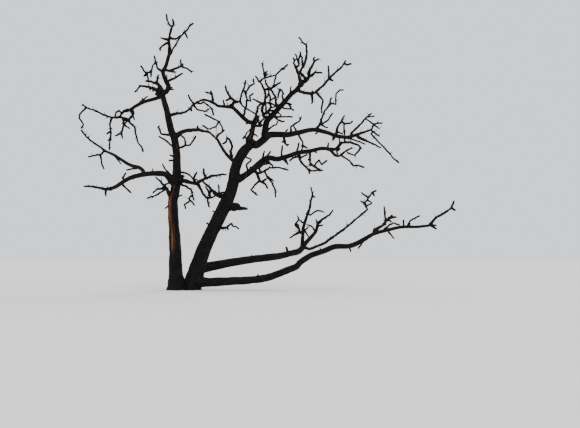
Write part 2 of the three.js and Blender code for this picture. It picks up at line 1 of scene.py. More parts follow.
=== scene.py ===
# A dead, bare and charred tree that grows as a clump from one root: a leaning trunk, an upright stem
# beside it and two low limbs, with their boughs and their masses of leafless twigs.
# Lengths are metres. X runs to the right, Y away from the camera and Z up from the ground.
import itertools
import math

import bpy
import numpy as np
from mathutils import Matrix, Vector


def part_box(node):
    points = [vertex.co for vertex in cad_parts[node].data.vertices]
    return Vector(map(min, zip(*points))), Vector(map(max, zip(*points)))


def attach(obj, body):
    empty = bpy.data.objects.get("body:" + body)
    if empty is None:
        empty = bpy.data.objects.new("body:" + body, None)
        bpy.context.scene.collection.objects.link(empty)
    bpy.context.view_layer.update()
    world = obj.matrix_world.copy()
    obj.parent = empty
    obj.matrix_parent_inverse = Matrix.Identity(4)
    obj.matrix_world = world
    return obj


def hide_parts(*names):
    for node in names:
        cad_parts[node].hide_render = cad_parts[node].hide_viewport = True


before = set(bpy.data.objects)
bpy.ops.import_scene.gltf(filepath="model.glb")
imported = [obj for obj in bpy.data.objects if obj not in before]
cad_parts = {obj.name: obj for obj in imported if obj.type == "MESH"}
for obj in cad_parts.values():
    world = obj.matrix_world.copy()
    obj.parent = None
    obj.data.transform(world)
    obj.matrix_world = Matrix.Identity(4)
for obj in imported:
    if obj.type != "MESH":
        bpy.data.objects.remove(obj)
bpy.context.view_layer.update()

# The camera stands where the guide points line up, and looks level
view = {
    "place": (2.5, -20.14, 1.0),
    "lens": 50,
    "sensor": 36,
    "shift": 0.062,          # of the frame's width, upwards
    "furthest": 200,
}
eye = np.array(view["place"])


def makeCamera():
    camera = bpy.data.objects.new("camera", bpy.data.cameras.new("camera"))
    camera.location = view["place"]
    camera.rotation_euler = (math.pi / 2, 0, 0)
    camera.data.lens = view["lens"]
    camera.data.shift_y = view["shift"]
    camera.data.sensor_width = view["sensor"]
    camera.data.clip_end = view["furthest"]
    bpy.context.collection.objects.link(camera)
    bpy.context.scene.camera = camera


makeCamera()
print("camera placed")

# Guides are lists of pairs, across and up in grid steps. A rooted stem starts on the ground at its
# rootDepth, and any other limb springs from the nearest place on what carries it. Widths are at the
# root and the tip, and depth is the tip's distance behind the trunk's foot.
limbs = {
    "main_trunk": {
        "rooted": True, "rootDepth": 0, "depth": 0.2, "width": [0.375, 0.23], "taper": 1.3,
        "guide": [0, 0, 6, 18, 13.6, 40, 22.8, 60, 32.6, 80, 41.2, 100, 44.1, 112, 45.2, 121, 48.5, 130,
        55, 140, 62, 146.5]},
    "left_stem": {
        "rooted": True, "rootDepth": -0.06, "depth": -0.35, "width": [0.335, 0.128],
        "guide": [-13, 0, -14.3, 25, -15.2, 50, -17, 90, -14.8, 100, -13.1, 120, -13.6, 140, -15.4, 150,
        -18.8, 160, -21.3, 170, -23.3, 180, -26.3, 190, -28, 197]},
    "low_limb_far": {
        "on": "main_trunk", "depth": 1.3, "width": [0.24, 0.15],
        "guide": [10, 22, 40, 27, 65, 31, 82, 32.9, 90, 33.9, 100, 36.4, 109, 38.8, 113, 43]},
    "low_limb_near": {
        "on": "main_trunk", "depth": -1.3, "width": [0.24, 0.108], "taper": 0.8,
        "guide": [12, 8, 45, 9, 75, 12, 98, 20, 107, 24, 110, 27.5, 120, 34, 135, 39.5, 145, 43.4,
        158, 43.9, 165, 45.8, 178, 53]},
    "near_outer_bough": {
        "on": "low_limb_near", "depth": -1.75, "width": [0.094, 0.06],
        "guide": [184, 56.2, 198, 60.1, 212, 63, 228, 63.2, 240, 64.5]},
    "far_upright_bough": {
        "on": "low_limb_far", "depth": 1.15, "width": [0.105, 0.075],
        "guide": [112.5, 50, 113, 56, 113, 60.5, 114.5, 66, 116, 71, 117.3, 75.5]},
    "far_right_bough": {
        "on": "low_limb_far", "depth": 1.65, "width": [0.125, 0.08],
        "guide": [115, 46, 119, 50.5, 123, 55, 126, 59, 128, 67]},
    "long_right_bough": {
        "on": "main_trunk", "depth": 1.35, "width": [0.215, 0.095], "taper": 0.5,
        "guide": [66, 145, 73, 149.8, 79, 154.8, 91, 155.5, 98, 155.3, 110, 157.8, 123, 160.2,
        136, 157.8, 146, 154.2, 158, 152.3]},
    "left_fork_bough": {
        "on": "main_trunk", "depth": 0.06, "width": [0.15, 0.12],
        "guide": [59.5, 150, 61.5, 156, 62.8, 162, 63.2, 167]},
    "crossing_bough": {
        "on": "left_fork_bough", "depth": 0.6, "width": [0.112, 0.052],
        "guide": [58.2, 168.4, 53, 172.6, 45, 180.4, 42.5, 182.4, 35, 183.4, 28, 184.2, 25, 186.2,
        19, 189, 13, 190.2, 8, 188.2]},
    "central_bough": {
        "on": "long_right_bough", "depth": -0.35, "width": [0.21, 0.106], "taper": 0.5,
        "guide": [74.6, 155, 75, 160, 75.8, 165, 77.2, 169.5, 81.5, 174, 88, 181, 98, 192, 102, 196.5,
        106, 199.5, 110, 204.5]},
    "lower_right_bough": {
        "on": "main_trunk", "depth": -1.15, "width": [0.185, 0.084], "taper": 0.75,
        "guide": [49, 111.5, 55, 114.5, 61.4, 119.2, 68.6, 125.8, 74, 130.2, 78, 132, 82, 131.8,
        87, 130.9, 97, 133.5, 108, 137.2, 120, 138.8, 130, 141.3, 135, 141.5, 140, 140.3]},
    "upper_left_bough": {
        "on": "left_stem", "depth": 0.45, "width": [0.095, 0.08],
        "guide": [-30, 192.7, -37, 190.7, -46, 188, -55, 183.5, -59, 180.7, -62, 179.8]},
    "leader_bough": {
        "on": "left_stem", "depth": -0.2, "width": [0.135, 0.086],
        "guide": [-23.6, 198.6, -21.4, 204, -23.5, 208, -25.6, 213, -27, 218, -24.2, 224, -21.6, 233,
        -20.3, 237.5]},
    "low_left_bough": {
        "on": "left_stem", "depth": -1.35, "width": [0.15, 0.085],
        "guide": [-18.5, 108.5, -21.5, 112.5, -25.5, 115.8, -35, 116.6, -41, 116.3, -46, 115.6,
        -59, 112.3, -69, 106.7, -74, 103.4, -79, 101.2]},
    "low_left_fork_bough": {
        "on": "low_left_bough", "depth": 0.15, "width": [0.1, 0.062],
        "guide": [-47, 119, -51, 122.5, -57, 124, -62, 126, -69, 130.5, -77, 135.5, -85, 139]},
}


# A mass of bare twigs: what carries it, its stem's width at the root, the stem's guide, those of the
# shoots that spring from it or from an earlier shoot, and those of small twigs that show in the crown
def mass(on, width, stem, depth=None, shoots=(), small=()):
    return {"on": on, "width": width, "stem": stem, "depth": depth, "shoots": shoots, "small": small}


masses = {
    "leader_top_twigs": mass(
        "leader_bough", 0.074, [-20.6, 243, -21.4, 248, -20.2, 256, -18.6, 261.5, -16.2, 265.8,
        -17.6, 271],
        shoots=[[-20, 264.5, -23.2, 271, -23.5, 275.8], [-16, 251, -12, 252, -9, 254.3, -4.9, 258.2,
        -1.9, 260.7, 0, 264.5, 3.5, 267], [-4.6, 256.5, -3.6, 254.3, -2.4, 251.3], [-24.5, 250.8,
        -29.5, 252.3], [-24, 246.6, -28.1, 243.8, -30.2, 241.3, -29.6, 239.2]],
        small=[[-20, 235, -15.5, 243.5, -12.5, 248.5, -9, 254]]),
    "leader_right_twigs": mass(
        "leader_bough", 0.062, [-19, 218.8, -15, 221.3, -9, 223.6, -2.5, 221.2, 1.9, 217.5],
        shoots=[[-9, 226, -9.5, 230.5]],
        small=[[-17.5, 218.2, -14, 217.6], [-7.5, 224, -7.5, 226.7]]),
    "leader_left_twigs": mass(
        "leader_bough", 0.06, [-28.5, 218.8, -32.5, 221.6, -33.8, 226, -32.8, 228.3]),
    "leader_low_twigs": mass(
        "leader_bough", 0.06, [-18, 210.7, -14, 212.5, -7.2, 216.8],
        small=[[-23.5, 210, -23.7, 215], [-21, 202.5, -17.5, 202.7], [-21, 200.5, -16.2, 200.7]]),
    "fork_left_twigs": mass(
        "left_stem", 0.112, [-29.5, 202, -32, 205.8, -39, 208.5, -44.5, 208.8],
        shoots=[[-41.8, 212, -43.3, 215.5, -46, 219, -49.5, 224.5], [-42, 217.5, -38.7, 218.7,
        -36.9, 225, -34.4, 227.5, -35.6, 234.4], [-32.8, 209.5, -32.4, 212.5, -31.3, 215.6], [-33, 199.5,
        -36, 201.7, -41.5, 203, -46.5, 203.7, -51, 204.5], [-53.2, 200, -55.2, 198]],
        small=[[-39, 219, -39, 212.5], [-43.5, 215.5, -46.5, 213.5], [-40, 202, -40, 199.5], [-37, 201.5,
        -37, 198.3]]),
    "upper_left_twigs": mass(
        "upper_left_bough", 0.072, [-66.5, 178.5, -69, 175.5, -70.5, 173.2],
        shoots=[[-71, 179.5, -73.5, 178, -74.7, 173]],
        small=[[-50, 188, -42.3, 193.8], [-57.5, 174, -55.5, 170.2]]),
    "upper_left_long_twigs": mass(
        "upper_left_bough", 0.072, [-57, 178, -57.7, 174, -61.5, 170.3, -69, 172.8, -78, 172.3, -86, 175,
        -96, 180, -103.5, 182.2, -107.7, 186],
        shoots=[[-110.5, 175.5, -110.5, 171.5, -106.5, 165.7, -109.2, 161.5], [-80.2, 166, -79, 157,
        -80.5, 145.5, -80.5, 140], [-66.5, 169, -66.5, 165, -68.7, 156.5, -75, 154], [-60, 167,
        -55.3, 163, -54.8, 159, -52, 147.5, -47.2, 141, -47.2, 138]],
        small=[[-80.5, 158, -83.5, 156], [-79.5, 151.5, -82.2, 149], [-68.5, 156, -67.3, 151.2],
        [-63.5, 168.5, -65.7, 165.7], [-65.5, 165, -60.2, 161.2]]),
    "stem_upper_left_twigs": mass(
        "left_stem", 0.055, [-22, 155, -29, 156.2, -30.2, 160, -32, 162.7, -30.5, 164],
        small=[[-18, 144, -25, 150, -31.2, 153.7], [-16, 133.5, -20.2, 135], [-16.5, 129.5,
        -21.2, 129.5]]),
    "stem_low_left_twigs": mass(
        "left_stem", 0.095, [-20.5, 95.5, -22.8, 101, -26.2, 104.6, -29.2, 108, -34.5, 113],
        shoots=[[-26.1, 101.7, -33.3, 100.6, -37.2, 96.7], [-25, 100, -28.9, 97.8, -35.6, 93.9,
        -43.3, 91.7]],
        small=[[-18, 114, -22, 118, -25, 121, -27.5, 126], [-20.5, 85, -25, 81.5], [-24.7, 105.2,
        -21.2, 106.8]]),
    "stem_high_right_twigs": mass(
        "left_stem", 0.07, [-14, 176.4, -9, 176.5, -4, 178.2, 0.5, 182, 2.5, 184.5, 8, 188.7],
        shoots=[[0, 191, -1.7, 195.2], [7, 180.5, 14.5, 178.5, 19.5, 181.2], [1, 181.5, 1.6, 178.6],
        [11, 186.2, 14, 187.7, 19.5, 183.5, 22, 180.5, 23.8, 174.5]]),
    "stem_arched_twigs": mass(
        "left_stem", 0.11, [-11.5, 155.5, -8.5, 158, -1.5, 159.8, 5, 160, 10, 159.8, 18, 158.2,
        23, 154.4, 26.5, 150.5],
        shoots=[[7.5, 164]]),
    "stem_mid_right_twigs": mass(
        "left_stem", 0.056, [-8, 142.7, -4.5, 144.7, 0, 145, 4, 150.5, 5.7, 154],
        shoots=[[-5.5, 151.5, -9.5, 155]]),
    "stem_low_right_twigs": mass(
        "left_stem", 0.108, [-8, 110, 2, 107, 6, 106.5, 11.5, 109.7, 18.5, 112.7, 22, 114.2, 30, 115.3,
        36.4, 115.6],
        shoots=[[15.3, 113.5, 13.6, 118, 13.4, 121.6], [9.5, 103, 13, 96, 17, 92.2, 18.3, 86,
        19.5, 82.7], [4.5, 109.5, 3.3, 111.5, 5, 114.8, 7, 117.5]],
        small=[[-7, 117.5, -2, 116, 0.5, 114, 3, 110.8, 6.5, 110.4], [-12.5, 93, -7.7, 95.2]]),
    "low_left_tip_twigs": mass(
        "low_left_bough", 0.07, [-85, 101, -96, 103.2, -106, 103.7],
        shoots=[[-84, 94]],
        small=[[-68, 106, -61, 99, -59, 97], [-67.5, 112, -64, 117]]),
    "low_left_fork_twigs": mass(
        "low_left_fork_bough", 0.056, [-92, 144.5, -99, 149, -104, 153.5, -109, 160],
        shoots=[[-89, 135.5, -95, 134.5, -102, 133], [-88, 125, -86, 121]],
        small=[[-75, 134, -69, 126], [-51, 122, -57, 121.2, -64, 120]]),
    "trunk_stub_twigs": mass(
        "main_trunk", 0.2, [43, 82.4, 50, 81.7, 57.7, 80.9],
        shoots=[[45, 85.4, 50, 84.6]]),
    "trunk_low_twigs": mass(
        "main_trunk", 0.098, [31, 62, 37, 62.5, 38.5, 60.5],
        shoots=[[41, 66.5, 42.5, 64, 46, 63.5, 49, 61]],
        small=[[21, 64, 16.5, 67.3]]),
    "trunk_left_twigs": mass(
        "main_trunk", 0.124, [26, 96, 22, 99.5, 18, 104, 12, 109],
        shoots=[[19, 97.5, 15.5, 103.5], [20.5, 91.8, 17, 92.2]],
        small=[[29.5, 96, 28.3, 105.5], [20, 97, 18, 94], [35, 85, 29.5, 86.5], [17.5, 92, 21.5, 92.4,
        25, 94.2, 28, 93.7], [29.5, 95.5, 31.5, 97.3, 34.5, 97.8]]),
    "trunk_arched_twigs": mass(
        "main_trunk", 0.09, [42, 130, 38, 134, 34, 139, 30, 145.5, 26.5, 151.5, 28.5, 155.5,
        34.5, 160.2],
        shoots=[[32.3, 162.5, 29.5, 168, 20.5, 172.7, 14.5, 175.7], [28, 167, 25.6, 163.1, 18.3, 160.8,
        12.3, 164.5], [41.5, 132.5, 40.6, 138.7, 42.3, 143.7, 40, 149.4, 36.9, 152.3, 36.3, 148.1,
        32.3, 146]]),
    "left_fork_twigs": mass(
        "left_fork_bough", 0.07, [65.3, 172, 67.5, 180, 67.2, 183, 71, 185.7],
        small=[[58, 149, 54.7, 153, 57, 157.5, 60, 160.5], [54.7, 153, 52.3, 151.3], [63, 156.5,
        67.5, 153.5], [64, 164, 72.5, 164.7], [65.5, 166, 68, 170, 69.3, 175], [69, 165.5, 71.5, 169,
        74, 171.5], [66, 171.5, 67.5, 168.5, 72, 165.2]]),
    "crossing_tip_twigs": mass(
        "crossing_bough", 0.06, [23, 190.5, 21.6, 196, 15, 198.1],
        shoots=[[21.3, 197.5, 20.6, 199.5]],
        small=[[21.5, 196, 20.5, 199.4]]),
    "crossing_upper_twigs": mass(
        "crossing_bough", 0.072, [44.3, 188, 43.8, 190, 40.5, 192, 36, 200, 35.5, 204.7],
        shoots=[[50, 188.5, 51.5, 196, 54.8, 204, 55.6, 210], [53, 183.5, 60, 179.3, 66.5, 175.5,
        69.3, 169], [35.5, 189.3]],
        small=[[39.5, 184, 43, 187.5], [34.5, 184, 33.3, 190]]),
    "crossing_mid_twigs": mass(
        "crossing_bough", 0.056, [53.8, 175, 55.5, 181.5, 57, 191, 55.5, 197.5, 60, 204, 64.3, 206,
        63.3, 211.7],
        shoots=[[61, 189, 59.7, 194, 63.5, 196.7]],
        small=[[55.5, 197, 54.3, 199.7]]),
    "central_top_twigs": mass(
        "central_bough", 0.104, [113, 208, 116.5, 209.8, 119, 213, 118.7, 216.5, 120, 220.5,
        124.3, 228.5, 129, 231.2],
        shoots=[[111, 208, 109, 213.5, 106.5, 221, 103.5, 227, 104.8, 229.5, 103, 232.3], [109, 224.7,
        108, 229.5, 105.5, 235.7], [114.5, 212.5, 109.8, 218, 113.2, 223.5, 115, 227, 117, 236,
        116.3, 245, 113, 247.3, 108.8, 252.7], [122, 214.5, 125.5, 218, 132.5, 217], [123.3, 231,
        125, 233]],
        small=[[113, 223.5, 112.2, 228, 112.2, 232.5, 110.2, 234.5, 110.2, 238.5], [110.2, 234,
        108.8, 230.5, 109.5, 225.5], [100, 195, 101, 203.5]]),
    "central_right_twigs": mass(
        "central_bough", 0.076, [110, 198.5, 116, 197, 122, 196.2, 125, 197.5, 134, 205, 139, 211,
        147, 219, 151, 222, 155.7, 229.7],
        shoots=[[139, 212.5, 138.2, 224], [129, 194.2, 133, 189.5, 131.5, 182, 131.5, 177],
        [122.3, 190.5, 121.8, 186], [157, 225, 161.5, 226.5]],
        small=[[139.5, 211, 143.3, 209.2], [122.5, 197, 122.5, 199.7]]),
    "central_left_twigs": mass(
        "central_bough", 0.076, [73.8, 173.5, 72, 179, 72.5, 183.5, 75, 189, 75.5, 196, 72, 205.5,
        69.5, 208.5, 65.3, 214],
        shoots=[[74, 211.7, 86, 215, 92, 220.7, 98, 225.5], [74, 216.5, 72.5, 224, 72.5, 227.2],
        [76.3, 177, 75.8, 181, 75.8, 186.5]],
        small=[[74.8, 216.2, 77.5, 218.8], [75, 214, 78.3, 216.3], [92, 221.2, 95.2, 221], [72.5, 186.5,
        62.5, 191], [79.2, 201.4, 78.8, 196.1, 77, 192.5, 75.5, 190.5], [79, 195.6, 80.3, 192.5,
        79.6, 188.5, 85, 193], [86.8, 183.1, 82.3, 186.2, 79.6, 187.5, 75.6, 187], [79.6, 187.1,
        81, 183.6, 79.6, 180.9, 77, 177.3, 76.3, 175], [79.6, 179.5, 84, 179.7], [73, 186.5, 70.5, 186.2,
        68, 183.6, 68, 177.3]]),
    "central_mid_twigs": mass(
        "central_bough", 0.066, [86, 186, 85.5, 193, 81.5, 199.5, 78.5, 203, 75.8, 206, 75.3, 210.5],
        shoots=[[84, 204, 85, 210.5, 86, 214]],
        small=[[94, 188, 92, 194, 93.5, 196.5, 91.5, 200, 88, 201], [90, 199.5, 87.5, 192], [84, 203.5,
        91, 208], [94, 187, 102, 185.7], [99, 185.5, 101.5, 181.8], [91, 183.5, 95, 181.3, 101.5, 181,
        104, 179.5], [86.5, 179, 91.5, 174], [80, 175, 87, 173, 94, 173.3, 102.5, 173.2], [82, 174.5,
        86.5, 171.5, 92, 168.3, 94.5, 168.7], [76.5, 159, 83.5, 164.5, 86, 165, 88, 169], [78, 178,
        80, 182, 85, 183]]),
    "right_tip_twigs": mass(
        "long_right_bough", 0.084, [165, 154.7, 175, 158, 181, 160, 186, 156, 189.5, 153.5],
        shoots=[[184, 165.5, 186.5, 166.5, 192.5, 166.7], [161, 156.5, 167.5, 162.5, 175, 171,
        181.5, 176.5], [178, 173, 184.5, 173.8], [181, 156.2, 188, 148.5, 196, 140.5, 204, 131,
        209, 127.2], [168, 152.5, 180, 147.5, 191, 142.2]],
        small=[[160, 151.5, 171, 147.5, 175.5, 145.7], [168, 154, 176, 149.5, 187, 144.5], [184, 165.5,
        189.7, 161.2], [184, 165.5, 176.5, 170.7]]),
    "right_upper_twigs": mass(
        "long_right_bough", 0.07, [146.8, 158.5, 147.5, 162.5, 149.5, 166, 151.7, 168.3, 155, 166.5,
        160, 166.6, 162.7, 168.8],
        shoots=[[154, 165, 154.4, 158.5], [152.5, 171, 154.8, 174.5]],
        small=[[154.5, 159, 154.8, 152.5], [154.5, 152, 155, 148], [147.5, 158, 153, 156]]),
    "right_mid_twigs": mass(
        "long_right_bough", 0.064, [127, 162, 131, 166.5, 131, 170.5, 135, 179.5, 140, 185, 140, 189.5,
        141.6, 192.4],
        shoots=[[143, 186.3, 145.8, 185.5, 145.9, 196, 149.7, 200, 153.5, 200], [131.8, 166, 137, 169,
        139.4, 172, 142.7, 176.7]],
        small=[[130.5, 166, 136, 162.5, 138, 162.5]]),
    "right_inner_twigs": mass(
        "long_right_bough", 0.052, [101, 159, 101, 163.5, 109.5, 169, 111.5, 173.7],
        small=[[107.5, 157, 103, 165], [94, 156, 97.8, 160.7]]),
    "right_under_twigs": mass(
        "long_right_bough", 0.052, [109.5, 153, 112.5, 148.5, 112.5, 143, 111.5, 140.2],
        small=[[93.5, 155, 95, 147, 98, 144], [94.5, 148.5, 91.5, 147.8], [93.6, 154, 94, 148, 96.3, 145,
        99, 145.7], [112.8, 144, 118, 141.8], [129, 159, 125.2, 155.7]]),
    "lower_right_tip_twigs": mass(
        "lower_right_bough", 0.078, [146, 141, 148, 143, 151.5, 147.5, 160, 147.7, 168, 145,
        171.5, 141.2],
        shoots=[[169, 139.5, 164.5, 134.5, 157, 137.5], [141.5, 138.5, 146, 134.3, 149.5, 134,
        155, 138.5, 162, 142.5], [152.5, 133.5, 159, 129.5, 163.5, 124, 168, 124.7, 174, 122.5]],
        small=[[149.5, 141, 146.5, 138, 148, 135.8]]),
    "lower_right_hanging_twigs": mass(
        "lower_right_bough", 0.056, [120, 134, 119.8, 127.5, 125, 122.5, 130.5, 120],
        shoots=[[125, 125, 129, 130, 131.8, 125.5, 137, 129.7]],
        small=[[120, 130, 117.8, 130.7], [121, 125, 118.4, 125.4], [123, 140, 126.8, 137.1], [137.8, 142,
        138.3, 147.3]]),
    "lower_right_mid_twigs": mass(
        "lower_right_bough", 0.06, [109.5, 135, 109.6, 130.7, 112.5, 126.5, 120, 119.3, 133, 119.6],
        shoots=[[108, 133.5, 103, 132, 99.5, 129]],
        small=[[119.3, 120, 119.3, 116], [110.5, 132, 117.5, 135.5], [94, 132, 96, 127], [95.5, 130,
        98, 125], [107, 138, 109, 147.5], [92, 133, 91.5, 138, 92.5, 144.5]]),
    "lower_right_drop_twigs": mass(
        "lower_right_bough", 0.072, [67, 116.5, 69.5, 109, 75.5, 105.7, 77.5, 101.5],
        shoots=[[64.8, 105, 61, 100.3, 67.5, 94.5], [74.3, 118.6, 77.5, 112.7, 81.8, 107.7, 84, 102.9,
        85.8, 97.5, 85.5, 92.5], [79, 122, 88, 122.5, 98.5, 120], [69, 122, 74, 125.7, 79.5, 126.3,
        83, 124]],
        small=[[78, 113, 83.8, 108.8], [73, 109, 75.7, 111.2], [72, 129, 74.5, 139], [75.5, 132,
        80.7, 138.7], [57.5, 119, 56.5, 125.5, 61.5, 130.2, 56, 133], [69, 126.5, 79.7, 128.6], [76, 131,
        82.5, 124.5, 83.7, 122.2], [69.5, 109, 75.5, 105.7, 77.7, 101.2]]),
    "far_top_twigs": mass(
        "far_upright_bough", 0.068, [120, 83, 120.5, 88, 122.7, 95, 121, 102.7],
        small=[[122.8, 93.7, 125.4, 92.8], [118.5, 76.5, 120.3, 74.7, 123.5, 77.3, 127, 79.3, 131, 79,
        134.5, 77.8]]),
    "far_knot_twigs": mass(
        "far_upright_bough", 0.074, [109, 57.5, 104, 55, 100, 51.8],
        shoots=[[109.5, 60, 105, 65.5, 109, 70.5, 107.5, 73.5]],
        small=[[115, 68, 112.3, 67.3, 109.7, 69.8], [113.5, 60, 116.5, 61, 119.7, 63.7], [106, 64.5,
        108, 65.7, 109.5, 61], [114.5, 59.5, 116.5, 56.5, 118.7, 53.2]]),
    "far_right_twigs": mass(
        "far_right_bough", 0.07, [134, 71.7, 139.5, 75, 143, 80],
        small=[[127.5, 64, 126, 70.7], [128, 63.5, 133, 65.2], [124.7, 59.5, 123, 62.5, 120, 64.7,
        116.5, 65.3]]),
    "back_twigs": mass(
        "low_limb_far", 0.08, [120, 41, 135, 47, 157, 63, 165, 70, 177.5, 80.5, 174.5, 86.5, 178.5, 92,
        182.5, 97.7, 186.5, 99.5],
        depth=2.5, shoots=[[171.3, 97.5], [182, 86.7]],
        small=[[174.5, 86.7, 170.2, 89.3], [176.5, 84, 182.2, 86.9], [183, 97, 184.6, 93.7]]),
    "near_tip_twigs": mass(
        "near_outer_bough", 0.06, [243, 69, 247, 73, 255, 77.5, 261.5, 82, 264, 89],
        shoots=[[265.5, 79.5]],
        small=[[241, 65, 246.3, 64.5], [241.5, 64.5, 246.8, 60.8]]),
    "near_side_twigs": mass(
        "near_outer_bough", 0.082, [184.5, 60, 192.5, 64.3, 197, 70, 202, 75.2],
        shoots=[[206.5, 72.7], [195, 65.5, 195.7, 69.5, 194.7, 76, 194.3, 83.6]],
        small=[[199.5, 71.5, 206.7, 72.8], [197, 70, 201.7, 68.3], [194.5, 61, 200, 65.5, 203, 67,
        209.7, 65], [213.5, 63, 213.3, 70.3], [217, 63, 220, 69, 229.7, 74.1], [197, 60, 204.2, 51.3],
        [159, 44, 160.7, 38.2], [175, 51, 168, 41.3]]),
    "stem_hanging_twigs": mass(
        "left_stem", 0.062, [-9.4, 105.6, -3.3, 103.3, 1.3, 99.8, 2.2, 95.6, 3.3, 92.2, 4, 89.8],
        shoots=[[0, 93.3, -0.6, 90.6, 1.7, 88.3, 4.4, 84.5], [-1.7, 87.8, -5.6, 85.6, -4.4, 81]]),
}

# How limbs and masses grow, the same as in the construction
growth = {
    "gridStep": 0.025,
    "clearance": 0.004,      # least room between a twig and what doesn't carry it
    "searchStep": 0.1,       # of a leg, in finding the place nearest to a guide point
    "rootShare": 0.6,        # of a first leg, which may come close to limbs at its fork
    "curveSteps": 8,
    "ringSpacing": 0.19,
    "fewestRings": 3,
    "leastSpread": 1e-6,     # below this two legs count as parallel
    "forkShare": 0.7,        # furthest fork on the last leg of a twig
    "shootWidthShare": 0.85,  # of the wood that a shoot grows from, at the fork
    "thinnestWidth": 0.042,
    "twigSpacing": 0.21,
    "twigLength": (0.07, 0.19),
    "twigWidth": 0.028,
    "twigAngle": (35, 75),
    "upwardBias": 0.2,
    "massReach": 0.13,
    "depthLeans": (0.5, -0.5, 0.8, -0.8, 0.25, -0.25, 1.1, -1.1),
}
flare = {"spread": 0.4, "height": 0.26, "lobes": 4, "lobeDepth": 0.16}
# Steps that keep the random numbers of different parts apart
seedSteps = {"flutes": 20, "grain": 80, "bareWood": 7, "stubs": 10, "splinters": 3, "twigs": 301}


def seededRandom(seed):
    multiplier = 16807
    modulus = 2147483647
    state = seed * multiplier + 1

    def draw():
        nonlocal state
        state = state * multiplier % modulus
        return state / modulus
    return draw


def between(ends, share):
    return ends[0] + (ends[1] - ends[0]) * share


def unit(vector):
    return vector / np.linalg.norm(vector)


# A random step of up to half a unit each way
def randomStep(random):
    return np.array([random() - 0.5 for _ in range(3)])


# A guide point, pushed along the line of sight from the plane of the trunk's foot to its own depth
def guidePoint(across, up, depth):
    flat = np.array((across * growth["gridStep"], 0, up * growth["gridStep"]))
    return eye + (flat - eye) * ((depth - eye[1]) / -eye[1])


# The place on some wood that looks nearest to a guide point, up to a share of the last leg, and the
# wood's width there
def nearestCentre(wood, across, up, lastShare=1):
    best = None
    for piece in wood:
        run = piece["run"]
        for i in range(1, len(run)):
            furthest = lastShare if i == len(run) - 1 else 1
            share = 0
            while share <= furthest:
                place = between(run[i - 1:i + 1], share)
                gap = np.linalg.norm(place - guidePoint(across, up, place[1]))
                if best is None or gap < best[0]:
                    best = (gap, place, 2 * between(piece["radii"][i - 1:i + 1], share))
                share += growth["searchStep"]
    return best[1], best[2]


def guideRun(root, guide, tipDepth):
    count = len(guide) // 2
    run = [root]
    for i in range(count):
        depth = between((root[1], tipDepth), (i + 1) / count)
        run.append(guidePoint(guide[2 * i], guide[2 * i + 1], depth))
    return np.array(run)


def travelled(run):
    steps = np.linalg.norm(np.diff(run, axis=0), axis=1)
    return np.concatenate(((0,), np.cumsum(steps)))


def taperedRadii(run, width, taper=1):
    along = travelled(run)
    return between(width, (along / along[-1]) ** taper) / 2


def directions(run):
    padded = np.concatenate((run[:1], run, run[-1:]))
    ways = padded[2:] - padded[:-2]
    return ways / np.linalg.norm(ways, axis=1)[:, None]


# A smooth curve through guide points, with even steps in the square root of their distances
def smoothCurve(points, steps):
    ends = np.concatenate(([2 * points[0] - points[1]], points, [2 * points[-1] - points[-2]]))
    curve = []
    for i in range(len(points) - 1):
        before, start, end, after = ends[i:i + 4]
        gaps = [np.linalg.norm(b - a) ** 0.5 for a, b in ((before, start), (start, end), (end, after))]
        chord = (end - start) / gaps[1]
        leave = (start - before) / gaps[0] - (end - before) / (gaps[0] + gaps[1]) + chord
        arrive = chord - (after - start) / (gaps[1] + gaps[2]) + (after - end) / gaps[2]
        leave = leave * gaps[1]
        arrive = arrive * gaps[1]
        for k in range(steps):
            t = k / steps
            bend = -3 * start + 3 * end - 2 * leave - arrive
            twist = 2 * start - 2 * end + leave + arrive
            curve.append(start + leave * t + bend * t ** 2 + twist * t ** 3)
    return np.array([*curve, points[-1]])


def spaced(fine, count):
    along = travelled(fine)
    places = np.linspace(0, along[-1], count + 1)
    return np.stack([np.interp(places, along, fine[:, axis]) for axis in range(3)], axis=1)


def rises(height, angle):
    rise = np.exp(-height / flare["height"])
    return 1 + rise * (flare["spread"] + flare["lobeDepth"] * np.cos(flare["lobes"] * angle))


# Straight legs as rows of: from, to, half width at each end
def legsOf(run, radii):
    return np.column_stack((run[:-1], run[1:], radii[:-1], radii[1:]))


# Whether each leg keeps its distance from every other leg where their centre lines are nearest
def isClear(legs, others):
    if not len(others):
        return True
    one = legs[:, None, :]
    other = others[None, :, :]
    way = one[..., 3:6] - one[..., 0:3]
    otherWay = other[..., 3:6] - other[..., 0:3]
    offset = one[..., 0:3] - other[..., 0:3]
    a = (way * way).sum(-1)
    b = (way * otherWay).sum(-1)
    c = (way * offset).sum(-1)
    e = (otherWay * otherWay).sum(-1)
    f = (otherWay * offset).sum(-1)
    spread = a * e - b * b
    parallel = spread <= growth["leastSpread"] * a * e
    guess = np.where(parallel, 0, np.clip((b * f - c * e) / np.where(parallel, 1, spread), 0, 1))
    otherShare = np.clip((b * guess + f) / e, 0, 1)
    share = np.clip((b * otherShare - c) / a, 0, 1)
    nearest = offset + way * share[..., None] - otherWay * otherShare[..., None]
    half = between((one[..., 6], one[..., 7]), share)
    otherHalf = between((other[..., 6], other[..., 7]), otherShare)
    gap = np.linalg.norm(nearest, axis=-1) - (half + otherHalf)
    return bool((gap >= growth["clearance"]).all())


# The same for a guided twig, all but the start of its first leg
def hasRoom(run, radii, others):
    outer = np.concatenate(([between(run[:2], growth["rootShare"])], run[1:]))
    return isClear(legsOf(outer, radii), others)


